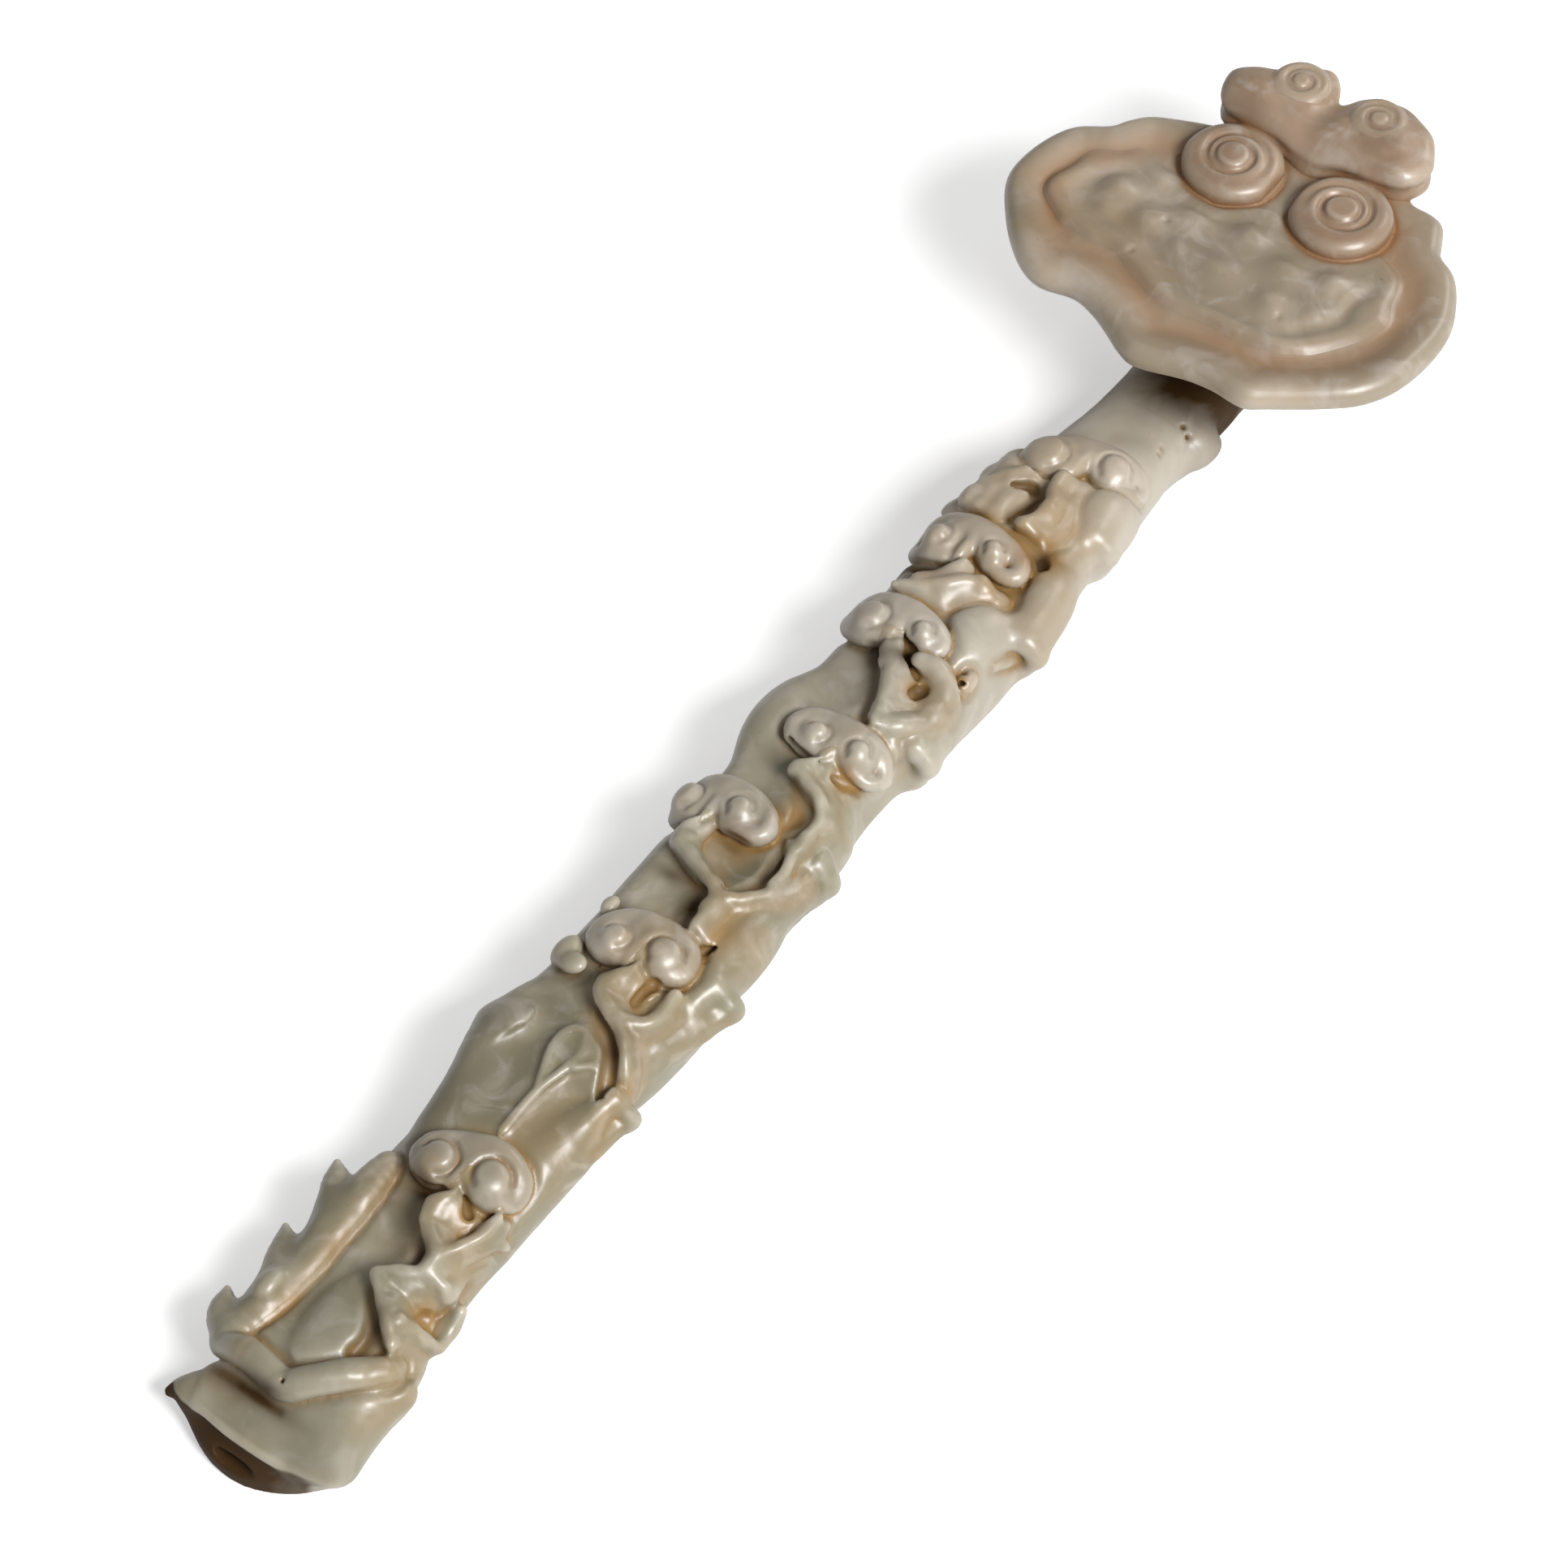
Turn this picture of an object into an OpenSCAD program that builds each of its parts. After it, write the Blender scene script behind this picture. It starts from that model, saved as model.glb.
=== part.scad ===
// Ruyi sceptre carved from one boulder of pale nephrite: an arched shaft with
// seven fungus sprigs in relief, a neck that turns up, and a cloud-shaped head.
// Y runs from the tail to the crest and Z is up. The sceptre stands on two
// flats ground under its tail and its neck, and the origin lies on the ground
// below its middle.

/* [Shaft] */
// Length of the shaft from the tail's end to the start of the neck
shaft_l = 300; // [240:1:370]
// Width of the shaft over most of its length
shaft_w = 30; // [22:0.5:40]
// Thickness of the shaft
shaft_t = 22.5; // [16:0.5:30]
// Width of the shaft at the tail's end
tail_w = 36; // [24:0.5:44]
// Distance that the tail's rounded heel stands out past its rim
heel = 7; // [3:0.5:10]
// Share of the shaft's thickness that is left at the tail's rim
tail_thin = 0.55; // [0.5:0.01:0.9]
// Height of the shaft's arch above the ground
arch_rise = 9.5; // [4:0.5:16]
// Squareness of the shaft's upper side, where 2 is an ellipse
crown = 2.7; // [2:0.1:4]
// Squareness of the shaft's underside
belly = 2.2; // [2:0.1:4]
// Depth of the two flats ground under the tail and the neck
ground_flat = 0.6; // [0.3:0.1:1.5]

/* [Neck] */
// Width of the neck at its narrowest
neck_w = 24; // [18:0.5:32]
// Thickness of the neck at its narrowest
neck_t = 20.5; // [14:0.5:27]
// Length of the neck that runs level before it turns up
neck_run = 27; // [15:1:40]
// Radius of the neck's turn, measured at its centre line
bend_r = 15; // [12:0.5:22]
// Width of the neck where it meets the head
root_w = 34; // [24:1:44]
// Thickness of the neck where it meets the head
root_t = 24; // [16:1:30]

/* [Head] */
// Height of the head's underside above the ground
head_lift = 37; // [30:0.5:48]
// Width of the head across its two side lobes
head_w = 103; // [80:1:125]
// Length of the head from its front lobe to the back of the crest
head_l = 87.5; // [70:0.5:105]
// Thickness of the head's plate, up to its sunk field
plate_t = 6; // [4:0.5:10]
// Height of the lip that borders the sunk field
lip_h = 2.2; // [1:0.1:4]
// Width of the lip as a share of the head's half width
lip_share = 0.15; // [0.1:0.01:0.2]
// Height of the raised cloud on the field
cloud_h = 4.2; // [2:0.1:7]
// Groove between the volutes and what is carved round them
seam = 0.5; // [0.3:0.1:1]

/* [Volutes] */
// Outer radius of a volute on the field
volute_r = 11; // [8:0.5:12]
// Distance of a volute's centre from the middle of the pair
volute_x = 13.8; // [13:0.1:17]
// Height of a volute's band
volute_h = 5.2; // [3:0.1:8]
// Radius of the boss in the middle of a volute
boss_r = 4.2; // [3:0.1:5]
// Outer radius of a small volute on the crest
curl_r = 5.5; // [4:0.1:6.5]
// Distance of a small volute's centre from the middle of the crest
curl_x = 9; // [7.5:0.5:12]

/* [Crest] */
// Height of the crest above the field
crest_h = 10; // [7:0.5:14]
// Height of the small volutes above the crest
curl_h = 2.2; // [1:0.1:4]

/* [Sprigs] */
// Radius of a fungus stem
stem_r = 3.1; // [2:0.1:3.8]
// Radius of the thinner twigs and ridges
twig_r = 2.1; // [1.2:0.1:2.8]
// Height of a stem's centre line above the shaft's surface
stem_lift = 0.4; // [0:0.1:1.5]
// Radius of the lobes of a fungus cap
lobe_r = 5.1; // [3.5:0.1:6]
// Radius of the curled lip over a cap's lobes
brow_r = 2.6; // [1.8:0.1:3.5]

/* [Hidden] */

// The stations of the relief are laid out on a shaft of this length.
layout_l = 300;
stretch = shaft_l / layout_l;

// Colours of the stone: pale, warm where the skin was left, and polished head.
stone = "#B9B19C";
stone_pale = "#C6C0AE";
stone_warm = "#B49A78";

// Rings and sides of the swept and raised forms.
shaft_rings = 44;
section_sides = 28;
turn_steps = 8;
outline_steps = 2;
small_fn = 12;
lobe_fn = 14;

// Distances over which the shaft changes from one shape to the next.
tail_run = 30;
arch_front = 110;
arch_back = 62;
tail_slope = 14;
tail_round = 4;
heel_steps = 5;
heel_share = 0.3;
heel_sink = 0.75;

// The carving isn't quite even: the shaft, the cloud, the pair of volutes and
// the crest lie a little to the right of the head's middle.
stalk_x = 1;
cloud_x = 0.8;
pair_x = 2.3;
crest_x = 1;

// Outlines as the head is seen from above, anticlockwise from the front lobe,
// each about a centre from which all of its edge can be seen.
plate_edge = [[0.8, -38], [11, -35.5], [18, -35], [26, -35.5], [31, -32.5], [41, -25.5],
    [47, -20], [51, -12], [52.2, -2], [51.3, 8], [48, 16], [44, 21.5], [39, 24.5], [37, 28],
    [34.5, 32.5], [31, 34], [26, 34.5], [22, 37.5], [22.3, 42], [20, 46], [14, 50.5], [7, 50],
    [2, 47.5], [-3, 49], [-7, 51], [-13, 48], [-20, 44.5], [-23, 41], [-22.5, 36.5],
    [-20, 31.5], [-27, 28], [-35, 23.5], [-38.7, 19], [-41, 15], [-47.2, 10], [-50.7, 3],
    [-52.2, -5], [-51, -11], [-46.2, -18], [-41, -24], [-35, -29], [-29, -31], [-21, -29.5],
    [-15, -31], [-10, -33.5], [-4, -37]];
cloud_edge = [[0, -13.5], [8, -13], [18, -11.5], [27, -8], [33, -2.5], [37.5, 5], [38, 14],
    [35.5, 22], [31, 26], [25, 25.5], [16, 22], [8, 21.5], [1.5, 24], [-4, 21.5], [-13, 20],
    [-23, 22.5], [-30, 23], [-36, 20], [-41.5, 13], [-43, 5], [-40.5, -2], [-35, -6],
    [-28, -6.5], [-21, -6], [-15, -8.5], [-8, -12]];
crest_edge = [[1.5, -13], [9, -10.5], [17, -9.5], [23, -7.5], [25.5, -1.5], [23, 4.5],
    [19.5, 8], [13, 10.5], [6, 9.5], [3, 8], [-1, 5], [-4, 9], [-7, 11], [-12, 8.5], [-17, 5],
    [-22, 2.5], [-25.5, -2], [-22.5, -9], [-16, -10.5], [-8, -10.5]];

// Heights and places that follow from the sizes above. The outlines are drawn
// for a head as wide and as long as the plate's own edge, and take its scale.
edge_x = [for (p = plate_edge) p.x];
edge_y = [for (p = plate_edge) p.y];
scale_x = head_w / (max(edge_x) - min(edge_x));
scale_y = head_l / (max(edge_y) - min(edge_y));
field_z = head_lift + plate_t;
bend_start = shaft_l + neck_run;
head_y = bend_start + bend_r - 10;
total_l = heel + head_y + max(edge_y) * scale_y;
cloud_y = -10 * scale_y;
volute_y = 19.5 * scale_y;
crest_y = 40 * scale_y;
curl_y = 2.5 * scale_y;

// Routes of the seven sprigs, from the tail upwards: the stem and any forks,
// each point as [share of the half width, station on the laid-out shaft].
sprigs = [
    [[[0.8, 24], [0.62, 29], [0.25, 33], [0.5, 37], [0.52, 42], [0.18, 47], [0.22, 52]],
        [[0.52, 40], [0.86, 45]]],
    [[[0.98, 86], [0.85, 92], [0.7, 97], [0.5, 101], [0.25, 103], [0, 106], [0.07, 111]],
        [[0.55, 101], [0.6, 107], [0.45, 113]]],
    [[[0.47, 130], [0.45, 134], [0.22, 138], [-0.15, 140.5], [-0.48, 142], [-0.5, 147]]],
    [[[0.66, 143], [0.68, 148], [0.56, 153], [0.5, 158], [0.58, 163], [0.45, 168],
        [0.15, 171.5], [0.2, 176]],
        [[0.5, 137.5], [0.66, 143]]],
    [[[0.3, 192], [0.22, 196], [0.14, 200], [-0.03, 204], [-0.25, 208]]],
    [[[-0.42, 223], [-0.2, 225.5], [0.04, 228.5], [0.16, 232], [0.1, 236]]],
    [[[-0.62, 251], [-0.62, 256], [-0.48, 261], [-0.35, 266]],
        [[0.3, 252], [0.3, 258], [0, 263], [-0.3, 267]]]];
bar_route = [[-0.8, 8], [-0.4, 7.5], [0, 7], [0.3, 9.5], [0.58, 14.5], [0.76, 20]];
branch_route = [[-0.74, 13], [-0.9, 19], [-0.97, 26], [-1, 34], [-1, 44], [-0.97, 54]];
loop_route = [[0.42, 192], [0.66, 194], [0.78, 199], [0.7, 205], [0.48, 208.5]];
ridge_route = [[0.9, 221], [0.98, 229], [0.96, 238], [0.88, 246], [0.76, 252]];

// Caps of the sprigs: [left lobe, right lobe, points of the curled brow], and a
// lobe is [share, station, radius as a share of the lobe radius, half spread].
caps = [
    [[-0.18, 58.5, 0.85, 0.08], [0.56, 61, 0.95, 0.04],
        [[-0.47, 58], [-0.3, 64], [0.06, 67.5], [0.42, 69], [0.76, 66.5], [0.88, 61]]],
    [[-0.28, 116.5, 0.95, 0.08], [0.47, 119, 0.95, 0.06],
        [[-0.62, 118], [-0.35, 123], [0, 125], [0.35, 125.5], [0.65, 123.5], [0.78, 119.5]]],
    [[-0.88, 154, 1.05, 0.04], [0, 155, 0.9, 0.16],
        [[-1, 157], [-0.7, 160.5], [-0.3, 161.5], [0.1, 160.5], [0.36, 157]]],
    [[-0.12, 179.5, 0.95, 0.08], [0.65, 181, 1, 0.04],
        [[-0.42, 180], [-0.18, 184.5], [0.18, 186], [0.53, 186.5], [0.82, 184.5], [0.96, 180.5]]],
    [[-0.75, 212.5, 1.05, 0.08], [0.14, 213.5, 0.75, 0.14],
        [[-1, 213], [-0.7, 217.5], [-0.3, 218.5], [0.12, 217.5], [0.42, 215]]],
    [[-0.8, 237.5, 1.1, 0.08], [0.2, 240, 0.85, 0.14],
        [[-1, 241], [-0.8, 244.5], [-0.36, 245.5], [0.06, 244.5], [0.45, 242]]],
    [[-0.42, 271.5, 0.9, 0.04], [0.5, 277, 0.95, 0.06],
        [[-0.8, 274], [-0.55, 278], [-0.15, 280], [0.25, 282.5], [0.65, 281.5], [0.86, 277]]]];

// The burl is an oval hollow with a raised rim: share and station of its middle,
// its half width as a share and its half length.
burl = [0.55, 83];
burl_half = [0.42, 12.5];
burl_steps = 14;
burl_route = [for (i = [0 : burl_steps])
    let (a = 360 * i / burl_steps)
    [burl[0] + burl_half[0] * sin(a), burl[1] + burl_half[1] * cos(a)]];

// Knobs left standing: share, station, radius and height of the centre.
side_knob_at = [-0.86, 113, 4, 1];
side_bud_at = [-0.86, 125, 2, 0.8];
edge_bead_at = [0.82, 212.5, 2.4, 0.8];

// Share of its first radius that a stem keeps at its end.
taper = 0.85;

function clamp01(x) = min(1, max(0, x));
function ease(x) = clamp01(x) * clamp01(x) * (3 - 2 * clamp01(x));
function ramp(from, to, x) = ease((x - from) / (to - from));
function mix(a, b, t) = a + (b - a) * t;
function unit(v) = v / norm(v);
function power(x, p) = sign(x) * pow(abs(x), p);

// Shape of the shaft at a distance s from the tail's end.
function to_neck(s) = ramp(shaft_l - arch_back, shaft_l, s);
function half_w(s) = mix(mix(tail_w, shaft_w, ramp(0, tail_run, s)), neck_w, to_neck(s)) / 2;
function thinned(s) = mix(tail_thin, 1, ramp(-tail_round, tail_slope, s));
function half_t(s) = thinned(s) * mix(shaft_t, neck_t, to_neck(s)) / 2;
function rise(s) = arch_rise * ramp(0, arch_front, s) * (1 - ramp(shaft_l - arch_back, shaft_l + 18, s));
function centre_z(s) = rise(s) + half_t(s) - ground_flat;

// Point on the shaft's upper side: u is the share of the half width, from -1 on
// the left to 1 on the right, s the station, and lift the height off the stone.
function on(u, s, lift) =
    let (y = s * stretch, c = clamp01(abs(u)), w = half_w(y), t = half_t(y))
    let (drop = pow(1 - pow(c, crown), 1 / crown))
    let (normal = unit([sign(u) * pow(c, crown - 1) / w, 0, pow(drop, crown - 1) / t + 0.001]))
    [stalk_x + u * w, y, centre_z(y) + t * drop] + lift * normal;

// Closed loop of points across the shaft or the neck, in its own plane.
function section(w, t) = [for (i = [0 : section_sides - 1])
    let (a = 360 * i / section_sides, e = sin(a) > 0 ? crown : belly)
    [w * power(cos(a), 2 / e), t * power(sin(a), 2 / e)]];

// The same loop set up at a point of the centre line and tipped back by an angle.
function ring(y, z, tip, w, t) = [for (p = section(w, t))
    [stalk_x + p.x, y - p.y * sin(tip), z + p.y * cos(tip)]];

// Smooth closed curve through the points of an outline, at the head's scale.
function blend(a, b, c, d, t) =
    (2 * b + (c - a) * t + (2 * a - 5 * b + 4 * c - d) * t * t + (3 * b - a - 3 * c + d) * t * t * t) / 2;
function outline(p) =
    let (n = len(p))
    [for (i = [0 : n - 1], k = [0 : outline_steps - 1])
        let (q = blend(p[(i + n - 1) % n], p[i], p[(i + 1) % n], p[(i + 2) % n], k / outline_steps))
        [q.x * scale_x, q.y * scale_y]];

// Solid between rings of equally many points, closed by a fan at each end. Seen
// along its travel, a ring runs anticlockwise.
module skin(rings, first, last) {
    n = len(rings[0]);
    m = len(rings);
    points = concat([for (r = rings) each r], [first, last]);
    sides = [for (j = [0 : m - 2], i = [0 : n - 1])
        let (k = (i + 1) % n, a = j * n, b = a + n)
        each [[a + i, b + k, b + i], [a + i, a + k, b + k]]];
    start = [for (i = [0 : n - 1]) [m * n, (i + 1) % n, i]];
    finish = [for (i = [0 : n - 1]) [m * n + 1, (m - 1) * n + i, (m - 1) * n + (i + 1) % n]];
    polyhedron(points = points, faces = concat(sides, start, finish));
}

// Low mound on an outline, from the top down: each level is [share of the
// outline, height].
module mound(edge, levels) {
    rings = [for (v = levels) [for (p = edge) [p.x * v[0], p.y * v[0], v[1]]]];
    top = len(levels) - 1;
    skin(rings, [0, 0, levels[0][1]], [0, 0, levels[top][1]]);
}

// Everything below the ground, cut away where the stone was rubbed flat.
module ground() {
    translate([-head_w, -shaft_l, -shaft_t])
        cube([2 * head_w, 4 * shaft_l, shaft_t]);
}

// Rings of the shaft: the rounded heel of the tail, then rings at equal steps.
ring_step = shaft_l / shaft_rings;
function heel_angle(i) = 90 * (i + 0.6) / (heel_steps + 0.6);
function heel_ring(i) =
    let (a = heel_angle(i), share = sin(a))
    ring(-heel * cos(a) / cos(heel_angle(0)), mix(half_t(0) * heel_sink, centre_z(0), share), 0,
        half_w(0) * mix(heel_share, 1, share), half_t(0) * share);
function shaft_ring(i) =
    i < heel_steps ? heel_ring(i) :
    let (y = (i - heel_steps) * ring_step)
    ring(y, centre_z(y), 0, half_w(y), half_t(y));
last_ring = heel_steps + shaft_rings;

// Slice of the shaft between two of its rings.
function middle(loop) = (loop[0] + loop[section_sides / 2]) / 2;
module shaft_slice(first, last) {
    rings = [for (i = [first : last]) shaft_ring(i)];
    start = middle(rings[0]);
    finish = middle(rings[last - first]);
    skin(rings, start, finish);
}

module shaft_form() {
    shaft_slice(0, last_ring);
}

// Slice under a carved piece that runs from one station of the layout to
// another, with room at each end for a piece of the largest radius.
module bed(s0, s1) {
    room = 2 * lobe_r;
    first = max(0, heel_steps + floor((s0 * stretch - room) / ring_step));
    last = min(last_ring, heel_steps + ceil((s1 * stretch + room) / ring_step));
    shaft_slice(first, last);
}

module bed_of(route) {
    stations = [for (p = route) p[1]];
    bed(min(stations), max(stations));
}

module neck_form() {
    level = [for (i = [0 : turn_steps - 1])
        let (y = shaft_l + neck_run * i / turn_steps)
        ring(y, centre_z(y), 0, half_w(y), half_t(y))];
    start_z = centre_z(bend_start);
    turn = [for (i = [0 : turn_steps])
        let (tip = 90 * i / turn_steps, share = ease(i / turn_steps))
        ring(bend_start + bend_r * sin(tip), start_z + bend_r * (1 - cos(tip)), tip,
            mix(neck_w, root_w, share * 0.6) / 2, mix(neck_t, root_t, share * 0.5) / 2)];
    root = [ring(bend_start + bend_r, head_lift, 90, root_w / 2, root_t / 2)];
    skin(concat(level, turn, root), [stalk_x, shaft_l, centre_z(shaft_l)],
        [stalk_x, bend_start + bend_r, head_lift]);
}

module shaft() {
    color(stone)
        difference() {
            shaft_form();
            ground();
        }
}

module neck() {
    color(stone)
        difference() {
            neck_form();
            ground();
        }
}

// The lip runs round the field and dies away beside the volutes.
function lip_at(y) = lip_h * (1 - ramp(8, 18, y));

module head_plate() {
    border = outline(plate_edge);
    inner = 1 - lip_share;
    brim = [[inner - 0.02, 0], [inner + 0.02, 0.72], [0.93, 1], [0.985, 0.75]];
    upper = [for (v = brim) [for (p = border)
        [p.x * v[0], p.y * v[0], field_z + v[1] * lip_at(p.y)]]];
    under = [[1, 0.85], [0.97, 0.35], [0.9, 0.1], [0.72, 0]];
    lower = [for (v = under) [for (p = border)
        [p.x * v[0], p.y * v[0], head_lift + v[1] * plate_t]]];
    color(stone_pale)
        translate([0, head_y, 0])
            skin(concat(upper, lower), [0, 0, field_z], [0, 0, head_lift]);
}

// Room for the two volutes, as round wells with a seam round each.
module volute_room(h) {
    for (side = [-1, 1])
        translate([pair_x + side * volute_x, head_y + volute_y, field_z - 1])
            cylinder(r = volute_r + seam, h = h + 2, $fn = 64);
}

module head_cloud() {
    levels = [[0.5, cloud_h - 0.5], [0.84, cloud_h - 0.8], [0.9, cloud_h],
        [0.97, cloud_h - 0.4], [1, cloud_h * 0.6], [0.98, 0]];
    color(stone_pale)
        difference() {
            translate([cloud_x, head_y + cloud_y, field_z])
                mound(outline(cloud_edge), levels);
            volute_room(cloud_h);
        }
}

// Spiral band: a ridge that winds in to the boss and loses height on the way.
module spiral(r, h, boss, turns) {
    band = (r - boss) / 2;
    steps = 30;
    slices = [for (i = [0 : steps])
        let (t = i / steps, a = 360 * turns * t, centre = mix(r - band * 0.58, boss + 0.6, t))
        let (half = band * mix(0.58, 0.42, t), height = h * mix(1, 0.62, t))
        [for (k = [0 : 6])
            let (b = 180 * k / 6, d = centre + half * cos(b))
            [d * cos(a), d * sin(a), height * sin(b)]]];
    first = slices[0];
    last = slices[steps];
    skin(slices, (first[0] + first[3] + first[6]) / 3, (last[0] + last[3] + last[6]) / 3);
}

module volute() {
    spiral(volute_r, volute_h, boss_r, 1.15);
    rotate_extrude($fn = 28)
        intersection() {
            circle(r = boss_r - 1.4, $fn = 24);
            square([boss_r, volute_h * 2]);
        }
}

// The left volute is the mirror image of the right one.
module volute_at(side) {
    color(stone_warm)
        translate([pair_x + side * volute_x, head_y + volute_y, field_z])
            mirror([side < 0 ? 1 : 0, 0, 0])
                rotate([0, 0, -60])
                    volute();
}

module crest() {
    levels = [[0.8, crest_h], [0.9, crest_h * 0.93], [0.97, crest_h * 0.75],
        [1, crest_h * 0.45], [0.98, 0]];
    color(stone_warm)
        difference() {
            translate([crest_x, head_y + crest_y, field_z])
                mound(outline(crest_edge), levels);
            volute_room(crest_h);
        }
}

module crest_curl(side) {
    color(stone_pale)
        translate([crest_x + side * curl_x, head_y + crest_y + curl_y, field_z + crest_h])
            mirror([side < 0 ? 1 : 0, 0, 0])
                spiral(curl_r, curl_h, curl_r * 0.3, 1.15);
}

// Rounded run of stone through points [u, s], from one radius to another.
module run(route, r0, r1, lift) {
    last = len(route) - 1;
    for (i = [0 : last - 1]) {
        hull() {
            translate(on(route[i][0], route[i][1], lift))
                sphere(r = mix(r0, r1, i / last), $fn = small_fn);
            translate(on(route[i + 1][0], route[i + 1][1], lift))
                sphere(r = mix(r0, r1, (i + 1) / last), $fn = small_fn);
        }
    }
}

// Flattened lobe of a cap, longer across the shaft than along it.
module lobe(u, s, r, spread) {
    hull() {
        translate(on(u - spread, s, 0))
            sphere(r = r, $fn = lobe_fn);
        translate(on(u + spread, s, 0))
            sphere(r = r, $fn = lobe_fn);
    }
}

module sprig_form(i) {
    if (i < len(sprigs))
        for (route = sprigs[i])
            run(route, stem_r, stem_r * taper, stem_lift);
}

module cap_form(i) {
    lobe(caps[i][0][0], caps[i][0][1], lobe_r * caps[i][0][2], caps[i][0][3]);
    lobe(caps[i][1][0], caps[i][1][1], lobe_r * caps[i][1][2], caps[i][1][3]);
    run(caps[i][2], brow_r, brow_r, lobe_r * 0.35);
}

module bar_form() {
    run(bar_route, stem_r, stem_r * taper, stem_lift);
}

// The fourth sprig springs from the third, and is cut to it.
module sprig(i) {
    color(stone)
        difference() {
            sprig_form(i);
            bed_of([for (route = sprigs[i]) each route]);
            if (i == 3)
                sprig_form(2);
        }
}

// A cap spreads over the end of its stem and is cut to it, to the shaft and to
// the stem that starts above it.
module cap(i) {
    color(stone_pale)
        difference() {
            cap_form(i);
            bed_of(caps[i][2]);
            sprig_form(i);
            sprig_form(i + 1);
        }
}

module tail_bar() {
    color(stone)
        difference() {
            bar_form();
            bed_of(bar_route);
            sprig_form(0);
        }
}

// The branch stands out from the shaft's side, over the edge.
module tail_branch() {
    color(stone)
        difference() {
            run(branch_route, stem_r * 1.1, stem_r * taper, stem_r * 0.4);
            bed_of(branch_route);
            bar_form();
        }
}

module burl_rim() {
    color(stone_warm)
        difference() {
            run(burl_route, twig_r, twig_r, stem_lift / 2);
            bed_of(burl_route);
            cap_form(0);
            sprig_form(1);
        }
}

module loop_twig() {
    color(stone)
        difference() {
            run(loop_route, twig_r, twig_r, stem_lift);
            bed_of(loop_route);
            cap_form(3);
            cap_form(4);
            sprig_form(4);
        }
}

module long_ridge() {
    color(stone)
        difference() {
            run(ridge_route, twig_r, twig_r, stem_lift);
            bed_of(ridge_route);
            cap_form(5);
        }
}

// Knob left standing on the shaft beside a cap.
module knob(at, beside) {
    color(stone)
        difference() {
            translate(on(at[0], at[1], at[3]))
                sphere(r = at[2], $fn = 20);
            bed(at[1], at[1]);
            cap_form(beside);
        }
}

// The whole sceptre stands with its middle over the origin.
module placed() {
    translate([0, heel - total_l / 2, 0])
        children();
}

placed() shaft();
placed() neck();
placed() head_plate();
placed() head_cloud();
placed() volute_at(-1);  // volute_left
placed() volute_at(1);  // volute_right
placed() crest();
placed() crest_curl(-1);  // crest_curl_left
placed() crest_curl(1);  // crest_curl_right
placed() tail_bar();
placed() tail_branch();
placed() sprig(0);  // sprig_1
placed() sprig(1);  // sprig_2
placed() sprig(2);  // sprig_3
placed() sprig(3);  // sprig_4
placed() sprig(4);  // sprig_5
placed() sprig(5);  // sprig_6
placed() sprig(6);  // sprig_7
placed() cap(0);  // cap_1
placed() cap(1);  // cap_2
placed() cap(2);  // cap_3
placed() cap(3);  // cap_4
placed() cap(4);  // cap_5
placed() cap(5);  // cap_6
placed() cap(6);  // cap_7
placed() burl_rim();
placed() loop_twig();
placed() knob(side_knob_at, 1);  // side_knob
placed() knob(side_bud_at, 1);  // side_bud
placed() knob(edge_bead_at, 4);  // edge_bead
placed() long_ridge();
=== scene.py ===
import math

import bpy
import numpy as np
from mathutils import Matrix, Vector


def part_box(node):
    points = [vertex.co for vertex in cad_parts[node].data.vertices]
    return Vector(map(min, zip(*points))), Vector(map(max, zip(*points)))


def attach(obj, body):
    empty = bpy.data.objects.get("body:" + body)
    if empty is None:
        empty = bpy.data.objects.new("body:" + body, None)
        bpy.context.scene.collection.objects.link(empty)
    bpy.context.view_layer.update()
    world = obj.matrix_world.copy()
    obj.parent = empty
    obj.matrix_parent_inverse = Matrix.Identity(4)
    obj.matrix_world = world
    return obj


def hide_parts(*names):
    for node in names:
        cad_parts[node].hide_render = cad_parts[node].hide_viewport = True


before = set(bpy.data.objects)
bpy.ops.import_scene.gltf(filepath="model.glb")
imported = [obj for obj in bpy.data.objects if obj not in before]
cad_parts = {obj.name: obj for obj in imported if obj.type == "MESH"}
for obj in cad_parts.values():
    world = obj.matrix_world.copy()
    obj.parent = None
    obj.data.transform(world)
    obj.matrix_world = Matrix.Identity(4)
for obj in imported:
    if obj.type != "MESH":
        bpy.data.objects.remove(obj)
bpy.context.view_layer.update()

import openvdb
from mathutils import Vector

MM = 0.001


# The view
# The sceptre is looked at from its tail, from the right and from above. The point the lens was
# turned to sits a little off the middle of the frame, so the camera is turned to suit.
def put(title, data):
    """Object in the scene for a camera, a lamp or a mesh."""
    made = bpy.data.objects.new(title, data)
    bpy.context.scene.collection.objects.link(made)
    return made


turn = math.radians(35.4)
climb = math.radians(53.4)
away = Vector((math.sin(turn) * math.cos(climb), -math.cos(turn) * math.cos(climb), math.sin(climb)))
aim = Vector((0.8, 2.43, 15.0)) * MM
picture_px = 1932
focal_px = 6000
aim_px = (1045.64, 933.47)
eye = put("camera", bpy.data.cameras.new("camera"))
eye.data.sensor_width = 36
eye.data.lens = focal_px * eye.data.sensor_width / picture_px
eye.data.clip_start = 0.05
eye.location = aim + away
level = away.to_track_quat("Z", "Y").to_matrix()
half_px = picture_px / 2
centre_ray = level @ Vector((half_px - aim_px[0], aim_px[1] - half_px, -focal_px)).normalized()
eye.rotation_mode = "QUATERNION"
eye.rotation_quaternion = (-away).rotation_difference(centre_ray) @ level.to_quaternion()
bpy.context.scene.camera = eye

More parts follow.
